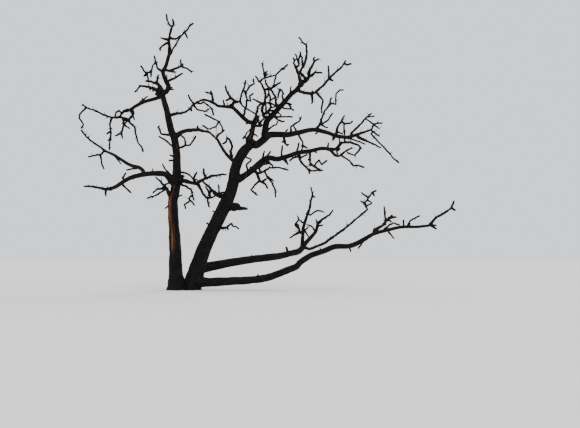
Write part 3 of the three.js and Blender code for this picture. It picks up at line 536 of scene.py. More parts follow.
def growLimb(spec, grown):
    guide = spec["guide"]
    if spec.get("rooted"):
        root = guidePoint(guide[0], guide[1], spec["rootDepth"])
        guide = guide[2:]
    else:
        root = nearestCentre([grown[spec["on"]]], guide[0], guide[1])[0]
    guided = guideRun(root, guide, spec["depth"])
    fine = smoothCurve(guided, growth["curveSteps"])
    count = math.floor(travelled(fine)[-1] / growth["ringSpacing"] + 0.5)
    run = spaced(fine, max(growth["fewestRings"], count))
    radii = taperedRadii(run, spec["width"], spec.get("taper", 1))
    reach = radii * (rises(run[:, 2], 0) if spec.get("rooted") else 1)
    return {"guided": guided, "run": run, "radii": radii, "legs": legsOf(run, reach)}


# Roots of twigs at seeded places along a run, one in each of some even stretches, and their headings
def sprouts(run, spacing, angles, random):
    along = directions(run)
    count = math.floor(travelled(run)[-1] / spacing)
    for i in range(count):
        place = (i + random()) / count * (len(run) - 2 + growth["forkShare"])
        index = math.floor(place)
        root = between(run[index:index + 2], place - index)
        roll = randomStep(random) + (0, 0, growth["upwardBias"])
        sideways = unit(roll - along[index] * roll.dot(along[index]))
        angle = math.radians(between(angles, random()))
        yield root, along[index] * math.cos(angle) + sideways * math.sin(angle)


# A mass: a stem on its carrier, shoots on the stem, and seeded twigs on both. Each shoot leans away to
# the first depth that is clear, and what finds no room is left out.
def growMass(spec, seed, grown, placedLegs):
    random = seededRandom(seed + 1)
    carrier = grown[spec["on"]]
    allLimbs = np.concatenate([limb["legs"] for limb in grown.values()])
    others = np.concatenate([limb["legs"] for limb in grown.values() if limb is not carrier])
    turn = 1 if random() < 0.5 else -1

    def firstClear(root, guide, width, limbChoices, tipDepth=None):
        nonlocal turn
        length = travelled(guideRun(root, guide, root[1]))[-1]
        turn = -turn
        depths = [root[1] + turn * lean * length for lean in growth["depthLeans"]]
        if tipDepth is not None:
            depths = [tipDepth]
        for limbsToAvoid in limbChoices:
            for depth in depths:
                run = guideRun(root, guide, depth)
                radii = taperedRadii(run, (width, growth["thinnestWidth"]))
                if hasRoom(run, radii, np.concatenate((limbsToAvoid, placedLegs))):
                    return {"run": run, "radii": radii}
        return None

    seat = nearestCentre([carrier], spec["stem"][0], spec["stem"][1])[0]
    wood = [firstClear(seat, spec["stem"], spec["width"], [others], spec["depth"])]
    for guide in spec["shoots"]:
        root, localWidth = nearestCentre(wood, guide[0], guide[1], growth["forkShare"])
        width = max(localWidth * growth["shootWidthShare"], growth["thinnestWidth"])
        shoot = firstClear(root, guide, width, [allLimbs, others])
        if shoot:
            wood.append(shoot)
    corners = np.concatenate([piece["run"] for piece in wood])
    low = corners.min(0) - growth["massReach"]
    high = corners.max(0) + growth["massReach"]
    twigs = []
    radii = np.array((growth["twigWidth"] / 2, 0))
    for piece in wood:
        for root, heading in sprouts(piece["run"], growth["twigSpacing"], growth["twigAngle"], random):
            tip = root + heading * between(growth["twigLength"], random())
            run = np.array((root, tip))
            inside = (tip >= low).all() and (tip <= high).all()
            if inside and isClear(legsOf(run, radii), np.concatenate((allLimbs, placedLegs))):
                twigs.append({"run": run, "radii": radii})
    legs = np.concatenate([legsOf(piece["run"], piece["radii"]) for piece in wood + twigs])
    return {"wood": wood, "twigs": twigs, "legs": legs}


grownLimbs = {}
for limbName, limbSpec in limbs.items():
    grownLimbs[limbName] = growLimb(limbSpec, grownLimbs)
grownMasses = {}
placedLegs = np.zeros((0, 8))
for massIndex, (massName, massSpec) in enumerate(masses.items()):
    grownMasses[massName] = growMass(massSpec, massIndex, grownLimbs, placedLegs)
    placedLegs = np.concatenate((placedLegs, grownMasses[massName]["legs"]))
print("limbs and masses grown:", len(grownLimbs), len(grownMasses), len(placedLegs))

# The bark's form on trunk, stems and boughs. Shares are of the limb's half width.
barkForm = {
    "cell": 0.013,           # size of the mesh's faces
    "roundShare": 0.8,       # of the faces of that size that would fit round
    "fewestSides": 22,
    "curveSteps": 24,
    "fullness": 0.065,       # over the nominal half width, before hollows and furrows
    "lump": 0.075,
    "lumpSize": 0.22,
    "lumpTurns": 0.7,
    "flute": 0.10,           # depth of the long hollows between the cords of wood
    "fluteTurns": 1.5,
    "fluteLength": 1.6,
    "furrow": 0.075,         # depth of the furrows between the bark's plates
    "furrowLayers": ((0.26, 0.7, 40), (0.26 / 2.1, 0.3, 60)),  # width, share of the depth and seed
    "furrowStretch": 7.0,
    "furrowEdge": 2.2,
    "grain": 0.02,
    "grainWidth": 0.09,
    "grainStretch": 6.0,
    "collar": 0.5,           # how far a limb swells where it leaves its carrier
    "collarFill": 0.9,       # the same at most, as a share of the way out to the carrier's skin
    "collarStart": 0.9,      # of the carrier's half width
    "collarLength": 0.9,
    "shoulder": 0.3,         # how far the carrier swells round a limb's root
    "shoulderReach": 1.25,
    "shoulderMargin": 0.01,
    "roundTip": 0.9,
    "bluntness": 0.985,
    "endRidge": 0.5,
}

# Broken stubs on the limbs: from and to, across and up in grid steps, then the widths at root and
# break, and how far the break lies towards the back
stubs = {
    "main_trunk": [
        [36.5, 79, 45, 82.6, 0.25, 0.10, -0.04],
        [38, 85.3, 49.5, 84.9, 0.15, 0.055, -0.06],
        [47.6, 112.5, 48.2, 117.2, 0.075, 0.05, -0.12],
        [28, 62.5, 32, 61.8, 0.075, 0.05, -0.1],
        [26.5, 77, 22.5, 79, 0.06, 0.04, 0.12],
    ],
    "left_stem": [
        [-13.5, 111, -6, 114.3, 0.13, 0.085, -0.1],
        [-13.5, 107.5, -4.5, 108.6, 0.11, 0.07, -0.12],
        [-14, 152, -11.2, 153.5, 0.09, 0.06, -0.1],
        [-16, 133, -19.6, 134.6, 0.055, 0.04, 0.1],
        [-13.5, 129.5, -10.4, 130.2, 0.05, 0.035, 0.1],
        [-15.5, 66, -11.3, 68.2, 0.06, 0.04, 0.12],
        [-28, 193, -34, 196.8, 0.15, 0.10, 0.03],
    ],
    "low_limb_far": [
        [98, 37, 96.3, 43.3, 0.09, 0.06, 0.05],
        [60, 30, 62, 34.8, 0.06, 0.04, 0.1],
    ],
    "low_limb_near": [
        [66, 11, 68.5, 15.8, 0.07, 0.045, -0.1],
        [131, 38, 130, 42.2, 0.05, 0.03, 0.1],
        [159, 44.5, 160.5, 38.6, 0.05, 0.03, -0.08],
    ],
    "near_outer_bough": [[219, 63, 220.5, 66.6, 0.04, 0.025, 0.05]],
    "long_right_bough": [
        [142.3, 152.5, 142.8, 148.3, 0.05, 0.035, 0.05],
        [149, 151.5, 149.6, 146.8, 0.05, 0.035, -0.05],
        [144, 153.5, 143.2, 150.6, 0.12, 0.08, -0.02],
        [105, 157.5, 106, 161.8, 0.05, 0.03, -0.06],
    ],
    "central_bough": [[106.5, 199, 107.5, 202.6, 0.06, 0.04, -0.05]],
    "lower_right_bough": [
        [63, 122, 66.5, 118.6, 0.06, 0.04, -0.06],
        [58, 118.5, 60.5, 123.3, 0.06, 0.035, 0.06],
        [93, 133, 94.5, 129.6, 0.045, 0.03, -0.05],
    ],
    "crossing_bough": [
        [37, 183.5, 37.6, 187.3, 0.04, 0.025, 0.05],
        [58, 169.5, 56.6, 166.2, 0.08, 0.06, -0.03],
    ],
    "left_fork_bough": [[63, 164, 71.5, 163.7, 0.065, 0.055, 0]],
    "upper_left_bough": [[-47, 188.5, -48, 192.4, 0.045, 0.03, 0.05]],
    "low_left_bough": [
        [-38, 117, -37.2, 121.4, 0.05, 0.03, -0.05],
        [-55, 114, -57.3, 110.2, 0.045, 0.03, -0.05],
    ],
    "leader_bough": [[-25, 213, -22.2, 214.4, 0.04, 0.025, 0.04]],
}
stubForm = {
    "sides": 14,
    "rings": 9,
    "taper": 0.6,
    "rough": 0.14,
    "roughScale": 35,
    "splinter": 0.9,
    "splinterScale": 60,
    "hollow": 0.35,
    "barkWidth": 0.05,
    "ridge": 0.6,
}
# Which of them show pale wood where they broke. The others are charred all over.
paleBreaks = {"left_stem": [1, 4], "low_limb_near": [0], "low_left_bough": [1]}

# Where the char is gone and brown wood shows: a place, its length, the way it faces, how far round
# it reaches, as the least cosine, and its strength
bareWood = {
    "left_stem": [
        [-16.5, 80, 1.05, (-0.55, -0.83, 0), 0.86, 0.9],
        [-16, 56, 1.5, (-0.22, -0.97, 0), 0.85, 0.56],
        [-17.5, 106, 0.5, (-0.1, -0.99, 0), 0.93, 0.5],
        [-28, 188, 0.3, (-0.9, -0.4, 0), 0.6, 0.6],
        [-13.5, 142, 0.5, (0.2, -0.97, 0), 0.86, 0.5],
        [-15.5, 60, 0.9, (0.6, 0.8, 0), 0.8, 0.6],
    ],
    "main_trunk": [
        [21, 58, 0.5, (-0.05, -1, 0), 0.95, 0.38],
        [38.5, 88, 0.3, (0.35, -0.94, 0), 0.95, 0.42],
        [48, 130, 0.5, (0.1, -0.99, 0), 0.93, 0.42],
        [20, 55, 0.7, (-0.6, 0.8, 0), 0.85, 0.5],
        [40, 98, 0.6, (0.75, 0.65, 0), 0.8, 0.5],
    ],
    "left_fork_bough": [[62, 156, 0.5, (0.15, -0.99, 0), 0.88, 0.6]],
    "lower_right_bough": [
        [101, 135.5, 0.45, (0, -1, -0.15), 0.88, 0.58],
        [134, 142, 0.3, (0, -0.6, -0.8), 0.7, 0.6],
        [56.5, 114, 0.25, (0, -0.6, -0.8), 0.7, 0.75],
    ],
    "low_limb_near": [[118, 33, 0.8, (0.3, -0.8, 0.5), 0.8, 0.45]],
    "low_limb_far": [[60, 30, 0.8, (0, 0.9, 0.4), 0.75, 0.5]],
    "central_bough": [[84, 178, 0.5, (0.3, -0.95, 0), 0.88, 0.45]],
    "low_left_bough": [[-46, 117, 0.5, (0, -0.6, -0.8), 0.75, 0.5]],
}
bareForm = {
    "streaks": ((34, 1.6, 0.6), (95, 6.4, 0.4)),  # how many across and along a metre, and their share
    "raggedness": 0.75,
    "fade": 1.6,
    "least": 0.42,
    "edge": 3.2,
}


# Large odd numbers that mix the three sides of a place, the seed and then the result
cellPrimes = (73856093, 19349663, 83492791)
seedPrime = 2654435761
mixPrime = 1274126177


# Smooth noise from -1 to 1 on rows of points, the same on every run
def latticeNoise(points, seed):
    cell = np.floor(points).astype(np.int64)
    share = points - cell
    share = share * share * (3 - 2 * share)
    total = np.zeros(len(points))
    for corner in itertools.product((0, 1), repeat=3):
        mixed = np.bitwise_xor.reduce((cell + corner) * cellPrimes, axis=1) ^ (seed * seedPrime)
        mixed &= 0xffffffff
        mixed = ((mixed ^ (mixed >> 13)) * mixPrime) & 0xffffffff
        value = ((mixed ^ (mixed >> 16)) & 0xffff) / 0x8000 - 1
        total += value * np.where(corner, share, 1 - share).prod(axis=1)
    return total


# Two directions square to a run at each of its points, turned as little as can be
def crossings(run):
    along = directions(run)
    normal = np.array((1.0, 0, 0)) if abs(along[0][0]) < abs(along[0][1]) else np.array((0, 1.0, 0))
    normals = []
    for way in along:
        normal = unit(normal - way * normal.dot(way))
        normals.append(normal)
    normals = np.array(normals)
    return along, normals, np.cross(along, normals)


# The ways outwards at even angles round each point of a run
def waysRound(angles, normals, binormals):
    cosines = np.cos(angles)[None, :, None]
    sines = np.sin(angles)[None, :, None]
    return (cosines * normals[:, None] + sines * binormals[:, None]).reshape(-1, 3)


# How far bare wood shows at some points that face some ways, in streaks along the fibre
def bareShare(name, points, bark, facing, seed):
    share = np.zeros(len(points))
    for across, up, length, way, least, strength in bareWood.get(name, []):
        middle = nearestCentre([grownLimbs[name]], across, up)[0]
        away = np.linalg.norm(points - middle, axis=1) / (length / 2)
        turned = np.clip((facing @ unit(np.array(way)) - least) / (1 - least) * bareForm["fade"], 0, 1)
        share = np.maximum(share, strength * np.exp(-away ** 3) * turned)
    streaks = 0
    for number, (across, along, weight) in enumerate(bareForm["streaks"]):
        streaks = streaks + latticeNoise(bark * (across, across, along), seed + number) * weight
    ragged = share * (1 + bareForm["raggedness"] * streaks)
    return np.clip((ragged - bareForm["least"]) * bareForm["edge"], 0, 1)


# A tube of rings with a point at each end: where its points are, in space and on the bark, how far
# they are bare, and how far they stand on a ridge
def tube(rings, start, end, bark, bare, ridge, sides):
    return {
        "points": np.vstack((rings, start, end)),
        "bark": np.vstack((bark, bark[0], bark[-1])),
        "bare": np.append(bare, (0, 0)),
        "ridge": ridge,
        "sides": sides,
    }


def brokenStub(name, spec, seed):
    across, up, tipAcross, tipUp, rootWidth, tipWidth, lean = spec
    root = nearestCentre([grownLimbs[name]], across, up)[0]
    tip = guidePoint(tipAcross, tipUp, root[1] + lean)
    run = spaced(np.array((root, tip)), stubForm["rings"])
    radii = between((rootWidth, tipWidth), np.linspace(0, 1, len(run)) ** stubForm["taper"]) / 2
    along, normals, binormals = crossings(run)
    sides = stubForm["sides"]
    angles = np.linspace(0, 2 * math.pi, sides, endpoint=False)
    ways = waysRound(angles, normals, binormals)
    half = np.repeat(radii, sides)
    rings = np.repeat(run, sides, axis=0) + ways * half[:, None]
    rough = latticeNoise(rings * stubForm["roughScale"], seed) * stubForm["rough"] * half
    rings += rough[:, None] * ways
    splinters = latticeNoise(rings[-sides:] * stubForm["splinterScale"], seed + seedSteps["splinters"])
    rings[-sides:] += along[-1] * (splinters * stubForm["splinter"] * radii[-1])[:, None]
    end = tip - along[-1] * stubForm["hollow"] * radii[-1]
    circle = np.column_stack((np.cos(angles), np.sin(angles))) * stubForm["barkWidth"]
    bark = np.column_stack((np.tile(circle, (len(run), 1)), np.repeat(travelled(run), sides)))
    ridge = np.full(len(rings) + 2, stubForm["ridge"])
    return tube(rings, run[0], end, bark, np.zeros(len(rings)), ridge, sides)


# Lumps, flutes, furrows and grain at places given by cosine, sine and distance along a limb, and the
# height of the ridges between the furrows, from 0 to 1
def barkRelief(places, nominal, seed):
    def stretched(width, stretch, seedStep):
        scale = (1 / width, 1 / width, 1 / (width * stretch * nominal))
        return latticeNoise(places * scale, seed + seedStep)

    ridge = 0
    for width, depth, seedStep in barkForm["furrowLayers"]:
        plates = np.abs(stretched(width, barkForm["furrowStretch"], seedStep))
        ridge = ridge + np.clip(plates * barkForm["furrowEdge"], 0, 1) * depth
    turns = nominal / barkForm["lumpSize"] + barkForm["lumpTurns"]
    lumps = latticeNoise(places * (turns, turns, 1 / barkForm["lumpSize"]), seed)
    turns = barkForm["fluteTurns"]
    flutes = latticeNoise(places * (turns, turns, 1 / barkForm["fluteLength"]), seed + seedSteps["flutes"])
    grain = stretched(barkForm["grainWidth"], barkForm["grainStretch"], seedSteps["grain"])
    relief = barkForm["lump"] * lumps - barkForm["flute"] * np.abs(flutes)
    return relief + barkForm["furrow"] * (ridge - 1) + barkForm["grain"] * grain, ridge


# Swells a limb's skin round each limb and mass that springs from it
def addShoulders(name, points, ways, run, along, radii):
    toTip = travelled(run)[-1] - travelled(run)
    for other, spec in (limbs | masses).items():
        if spec.get("on") != name:
            continue
        stem = grownLimbs[other] if other in limbs else grownMasses[other]["wood"][0]
        root = stem["run"][0]
        at = np.linalg.norm(run - root, axis=1).argmin()
        if toTip[at] < radii[-1]:
            continue
        heading = unit(stem["run"][1] - root)
        outward = unit(heading - along[at] * heading.dot(along[at]))
        half = stem["radii"][0]
        reach = barkForm["shoulderReach"] * (half + barkForm["shoulderMargin"])
        gap = np.linalg.norm(points - (root + outward * radii[at]), axis=1) / reach
        points += ways * (barkForm["shoulder"] * half * np.exp(-gap ** 2))[:, None]


# A limb's skin: rings along its curve, swollen at its root and round what springs from it
def limbSkin(name, index):
    spec = limbs[name]
    isRooted = spec.get("rooted")
    fine = smoothCurve(grownLimbs[name]["guided"], barkForm["curveSteps"])
    fitting = math.pi * max(spec["width"]) / barkForm["cell"]
    sides = max(barkForm["fewestSides"], round(fitting * barkForm["roundShare"]))
    run = spaced(fine, math.ceil(travelled(fine)[-1] / barkForm["cell"]))
    radii = taperedRadii(run, spec["width"], spec.get("taper", 1))
    nominal = radii.mean()
    along, normals, binormals = crossings(run)
    distance = travelled(run)
    if isRooted:  # the rings near the ground lie level
        level = np.exp(-run[:, 2] / flare["height"])[:, None]
        along = (1 - level) * along + level * np.array((0, 0, 1))
        normals = normals - along * (normals * along).sum(1)[:, None]
        normals /= np.linalg.norm(normals, axis=1)[:, None]
        binormals = np.cross(along, normals)
    else:
        carrier = grownLimbs[spec["on"]]
        carrierHalf = carrier["radii"][np.linalg.norm(carrier["run"] - run[0], axis=1).argmin()]
        swell = min(barkForm["collar"], max(0, barkForm["collarFill"] * (carrierHalf / radii[0] - 1)))
        away = np.clip(distance - carrierHalf * barkForm["collarStart"], 0, None)
        radii = radii * (1 + swell * np.exp(-away / (barkForm["collarLength"] * radii[0])))
    angles = np.linspace(0, 2 * math.pi, sides, endpoint=False)
    ringAngles = np.tile(angles, len(run))
    ways = waysRound(angles, normals, binormals)
    places = np.column_stack((np.cos(ringAngles), np.sin(ringAngles), np.repeat(distance, sides)))
    relief, ridge = barkRelief(places, nominal, index)
    half = np.repeat(radii, sides) * (1 + barkForm["fullness"] + relief)
    if isRooted:
        half = half * rises(np.repeat(run[:, 2], sides), ringAngles)
    tipLength = barkForm["roundTip"] * radii[-1]
    tipPlace = (places[:, 2] - (distance[-1] - tipLength)) / tipLength
    towardsTip = np.clip(tipPlace, 0, barkForm["bluntness"])
    half = half * np.sqrt(1 - towardsTip ** 2)
    points = np.repeat(run, sides, axis=0) + ways * half[:, None]
    addShoulders(name, points, ways, run, along, radii)
    points[:, 2] = np.maximum(points[:, 2], 0)
    if isRooted:
        points[:sides, 2] = 0
    bark = places * (nominal, nominal, 1)
    bare = bareShare(name, points, bark, ways, index + seedSteps["bareWood"])
    ridge = np.append(ridge, [barkForm["endRidge"]] * 2)
    return tube(points, run[0], run[-1], bark, bare, ridge, sides)


# The faces of a tube whose points come after some others, with a fan at each end
def tubeFaces(count, sides, first):
    rings = (count - 2) // sides
    last = first + (rings - 1) * sides
    faces = []
    for ring in range(rings - 1):
        low = first + ring * sides
        for side in range(sides):
            right = (side + 1) % sides
            faces.append((low + side, low + right, low + sides + right, low + sides + side))
    for side in range(sides):
        right = (side + 1) % sides
        faces.append((first + count - 2, first + right, first + side))
        faces.append((first + count - 1, last + side, last + right))
    return faces


# A piece in the scene, with values of its own at each of its points
def newPiece(name, points, edges, faces, layers, materials):
    mesh = bpy.data.meshes.new(name)
    mesh.from_pydata(points, edges, faces)
    for layerName, kind, values in layers:
        layer = mesh.attributes.new(layerName, kind, "POINT")
        numbers = np.asarray(values, dtype=np.int32 if kind == "INT" else np.float32)
        layer.data.foreach_set("vector" if kind == "FLOAT_VECTOR" else "value", numbers.ravel())
    for material in materials:
        mesh.materials.append(material)
    piece = bpy.data.objects.new(name, mesh)
    bpy.context.collection.objects.link(piece)
    return piece


def buildLimb(name, index, bark, brokenWood):
    tubes = [limbSkin(name, index)]
    for k, spec in enumerate(stubs.get(name, [])):
        tubes.append(brokenStub(name, spec, index * seedSteps["stubs"] + k))
    faces = []
    paleness = []
    first = 0
    for k, part in enumerate(tubes):
        count = len(part["points"])
        made = tubeFaces(count, part["sides"], first)
        isPale = k - 1 in paleBreaks.get(name, [])  # the first tube is the skin
        paleness += [isPale and face[0] == first + count - 1 for face in made]
        faces += made
        first += count
    points, barkRows, bare, ridge = (
        np.concatenate([part[key] for part in tubes]) for key in ("points", "bark", "bare", "ridge"))
    piece = newPiece(name + "_bark", points.tolist(), [], faces, (
        ("barkSpace", "FLOAT_VECTOR", barkRows),
        ("bareWood", "FLOAT", bare),
        ("ridge", "FLOAT", ridge),
    ), (bark, brokenWood))
    piece.data.polygons.foreach_set("material_index", np.array(paleness, dtype=np.int32))
    piece.data.shade_smooth()
    piece.data.update()
    return piece


# Twigs finer than the construction's, on the same wood and within the same reach
twigForm = {
    "step": 0.055,           # between the small bends of a twig
    "wobble": 0.13,          # how far a bend strays, as a share of the step
    "knot": 0.14,            # how much the width varies
    "collar": 0.5,
    "collarLength": 2.5,     # in half widths at the root
    "collarHalf": 0.003,     # that half width is at least this
    "tip": 0.4,              # of the width at a seeded twig's very end
    "bluntTip": 0.8,         # the same on stems and shoots, which are broken off
    "bluntLength": 0.5,
    "thinnest": 0.009,
    "lowest": 0.02,          # above the ground
    "smallWidth": (0.052, 0.038),
    "smallLeans": (0.45, -0.45, 0.9, -0.9),
    "paleShare": 0.08,       # of the blunt tips that show pale broken wood
    "paleEnd": ((0.035, 1.02), (0.014, 1.08), (-0.001, 0.9)),  # back from the tip, and the width there
    "sprayShares": (0.62, 0.86),
    "sides": 7,
    "thickness": 1.1,
}
fineOrders = (
    {"spacing": 0.24, "length": (0.04, 0.13), "width": (0.018, 0.0099), "angle": (30, 75), "bend": 28},
    {"spacing": 0.13, "length": (0.02, 0.06), "width": (0.011, 0.00605), "angle": (35, 80), "bend": 32},
)
fineLegs = 3
spurForm = {
    "spacing": 0.1,
    "length": 0.028,
    "lengths": (0.5, 1.3),
    "width": 0.55,           # of the twig's
    "top": 0.35,
    "sides": 5,
    "share": 0.45,           # of the places that have one
    "tilt": (0.75, 1.35),
}
sprayWords = ("First", "Second", "Third", "Broken")


def anySpray(random):
    draw = random()
    return sum(draw > share for share in twigForm["sprayShares"])


# Adds small bends between a run's own points, and a blunt end where it is broken off
def crooked(piece, random):
    run = piece["run"]
    along = travelled(run)
    places = [0.0]
    points = [run[0]]
    for i in range(1, len(run)):
        count = max(1, round((along[i] - along[i - 1]) / twigForm["step"]))
        for k in range(1, count + 1):
            point = between(run[i - 1:i + 1], k / count)
            if k < count:
                point = point + randomStep(random) * 2 * twigForm["wobble"] * twigForm["step"]
            points.append(point)
            places.append(between(along[i - 1:i + 1], k / count))
    half = np.interp(places, along, piece["radii"])
    half = half * (1 + twigForm["knot"] * (np.array([random() for _ in half]) * 2 - 1))
    rootHalf = max(half[0], twigForm["collarHalf"])
    swell = np.exp(-np.array(places) / (twigForm["collarLength"] * rootHalf))
    half = np.maximum(half * (1 + twigForm["collar"] * swell), twigForm["thinnest"] / 2)
    if piece["blunt"]:
        back = unit(points[-2] - points[-1])
        points.insert(-1, points[-1] + back * half[-1] * twigForm["bluntLength"])
        half = np.append(half, half[-1] * twigForm["bluntTip"])
    else:
        half[-1] *= twigForm["tip"]
    return {**piece, "run": np.array(points), "radii": half}


# The pale wood that shows over the end of a broken twig
def paleEnd(piece):
    tip = piece["run"][-1]
    back = unit(piece["run"][-3] - tip)
    run = np.array([tip + back * far for far, _ in twigForm["paleEnd"]])
    radii = np.array([piece["radii"][-2] * width for _, width in twigForm["paleEnd"]])
    return {"run": run, "radii": radii, "spray": sprayWords.index("Broken")}


# Twigs at seeded places along a piece of wood, each with two bends
def fineTwigs(piece, order, random, low, high, limbLegs):
    made = []
    bend = 2 * math.sin(math.radians(order["bend"]))
    for point, heading in sprouts(piece["run"], order["spacing"], order["angle"], random):
        length = between(order["length"], random())
        points = [point]
        for k in range(fineLegs):
            heading = unit(heading + randomStep(random) * bend * (k > 0))
            point = point + heading * length / fineLegs
            points.append(point)
        run = np.array(points)
        radii = between(order["width"], np.linspace(0, 1, len(run))) / 2
        inside = (run.min(0) >= low).all() and (run.max(0) <= high).all()
        if inside and isClear(legsOf(run, radii), limbLegs):
            made.append({"run": run, "radii": radii, "spray": piece["spray"]})
    return made


# The small twigs that show beside a mass, on its own wood or on its carrier
def smallRuns(name, random, limbLegs):
    carrier = grownLimbs[masses[name]["on"]]
    made = []
    for guide in masses[name]["small"]:
        root = nearestCentre([*grownMasses[name]["wood"], *made, carrier], guide[0], guide[1])[0]
        length = travelled(guideRun(root, guide, root[1]))[-1]
        turn = 1 if random() < 0.5 else -1
        for lean in twigForm["smallLeans"]:
            run = guideRun(root, guide, root[1] + turn * lean * length)
            radii = taperedRadii(run, twigForm["smallWidth"])
            if hasRoom(run, radii, limbLegs):
                break
        made.append({"run": run, "radii": radii, "spray": anySpray(random), "blunt": True})
    return made


# Everything that a mass is made of, as runs of points with a half width at each
def massRuns(name, index):
    grown = grownMasses[name]
    random = seededRandom(index + seedSteps["twigs"])
    limbLegs = np.concatenate([limb["legs"] for limb in grownLimbs.values()])
    low, high = (np.array(corner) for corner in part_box(name))
    coarse = []
    for kind in ("wood", "twigs"):
        coarse += [{**piece, "spray": anySpray(random), "blunt": kind == "wood"} for piece in grown[kind]]
    coarse += smallRuns(name, random, limbLegs)
    orders = [[crooked(piece, random) for piece in coarse]]
    pale = [paleEnd(piece) for piece in orders[0] if piece["blunt"] and random() < twigForm["paleShare"]]
    for order in fineOrders:
        orders.append([])
        for piece in orders[-2]:
            orders[-1] += fineTwigs(piece, order, random, low, high, limbLegs)
    return sum(orders, []) + pale


# Links a socket to where its value comes from, or sets it
def feed(tree, socket, value):
    if isinstance(value, bpy.types.NodeSocket):
        tree.links.new(value, socket)
    elif socket.type == "RGBA":
        socket.default_value = (*value, 1)
    else:
        socket.default_value = value


# A node with its settings, and its inputs by name or by number
def addNode(tree, kind, inputs=None, **settings):
    node = tree.nodes.new(kind)
    for setting, value in settings.items():
        setattr(node, setting, value)
    for key, value in (inputs or {}).items():
        feed(tree, node.inputs[key], value)
    return node


# A node group, with what it is given and its ends. Sockets are rows of a name, a kind and a value.
def newTree(name, kind, inputs, outputs):
    tree = bpy.data.node_groups.new(name, kind)
    for inOut, rows in (("INPUT", inputs), ("OUTPUT", outputs)):
        for socketName, socketKind, *value in rows:
            socket = tree.interface.new_socket(
                name=socketName, in_out=inOut, socket_type="NodeSocket" + socketKind)
            if value:
                socket.default_value = value[0]
    return tree, addNode(tree, "NodeGroupInput").outputs, addNode(tree, "NodeGroupOutput").inputs


# Turns runs of edges into twigs: a round section as wide as halfWidth at each point, short spurs on
# them, and a material for each spray
def twigTree():
    tree, given, ends = newTree("twigs along edges", "GeometryNodeTree", [
        ("Geometry", "Geometry"),
        ("Sides", "Int", twigForm["sides"]),
        ("Thickness", "Float", twigForm["thickness"]),
        ("Spur Spacing", "Float", spurForm["spacing"]),
        ("Spur Length", "Float", spurForm["length"]),
        ("Seed", "Int", 1),
        *((word + " Finish", "Material") for word in sprayWords),
    ], [("Geometry", "Geometry")])

    def attribute(name, kind):
        node = addNode(tree, "GeometryNodeInputNamedAttribute", {"Name": name}, data_type=kind)
        return node.outputs["Attribute"]

    def multiply(first, second):
        return addNode(tree, "ShaderNodeMath", {0: first, 1: second}, operation="MULTIPLY").outputs[0]

    def anyValue(kind, inputs):
        node = addNode(tree, "FunctionNodeRandomValue", {**inputs, "Seed": given["Seed"]}, data_type=kind)
        return node.outputs["Value"]

    curve = addNode(tree, "GeometryNodeMeshToCurve", {"Mesh": given["Geometry"]}).outputs["Curve"]
    section = addNode(tree, "GeometryNodeCurvePrimitiveCircle", {
        "Radius": 1, "Resolution": given["Sides"]})
    tubes = addNode(tree, "GeometryNodeCurveToMesh", {
        "Curve": curve,
        "Profile Curve": section.outputs["Curve"],
        "Scale": multiply(attribute("halfWidth", "FLOAT"), given["Thickness"]),
        "Fill Caps": True,
    })

    places = addNode(tree, "GeometryNodeCurveToPoints", {
        "Curve": curve, "Length": given["Spur Spacing"]}, mode="LENGTH")
    spur = addNode(tree, "GeometryNodeMeshCone", {
        "Vertices": spurForm["sides"], "Radius Bottom": 1, "Radius Top": spurForm["top"], "Depth": 1})
    tilt = anyValue("FLOAT_VECTOR", {
        "Min": (spurForm["tilt"][0], 0, 0), "Max": (spurForm["tilt"][1], 0, 2 * math.pi)})
    turned = addNode(tree, "FunctionNodeRotateRotation", {
        "Rotation": places.outputs["Rotation"],
        "Rotate By": addNode(tree, "FunctionNodeEulerToRotation", {"Euler": tilt}).outputs["Rotation"],
    }, rotation_space="LOCAL")
    width = multiply(attribute("halfWidth", "FLOAT"), spurForm["width"])
    reach = anyValue("FLOAT", {"Min": spurForm["lengths"][0], "Max": spurForm["lengths"][1]})
    size = addNode(tree, "ShaderNodeCombineXYZ", {
        "X": width, "Y": width, "Z": multiply(reach, given["Spur Length"])})
    spurs = addNode(tree, "GeometryNodeInstanceOnPoints", {
        "Points": places.outputs["Points"],
        "Selection": anyValue("BOOLEAN", {"Probability": spurForm["share"]}),
        "Instance": spur.outputs["Mesh"],
        "Rotation": turned.outputs["Rotation"],
        "Scale": size.outputs["Vector"],
    })

    joined = addNode(tree, "GeometryNodeJoinGeometry", {"Geometry": spurs.outputs["Instances"]})
    feed(tree, joined.inputs["Geometry"], tubes.outputs["Mesh"])
    flow = joined.outputs["Geometry"]
    for kind in ("GeometryNodeRealizeInstances", "GeometryNodeSetShadeSmooth"):
        flow = addNode(tree, kind, {"Geometry": flow}).outputs["Geometry"]
    for number, word in enumerate(sprayWords):
        same = addNode(tree, "FunctionNodeCompare", {  # 2 and 3 are its sockets for whole numbers
            2: attribute("spray", "INT"), 3: number}, data_type="INT", operation="EQUAL")
        flow = addNode(tree, "GeometryNodeSetMaterial", {
            "Geometry": flow, "Selection": same.outputs["Result"], "Material": given[word + " Finish"],
        }).outputs["Geometry"]
    feed(tree, ends["Geometry"], flow)
    return tree


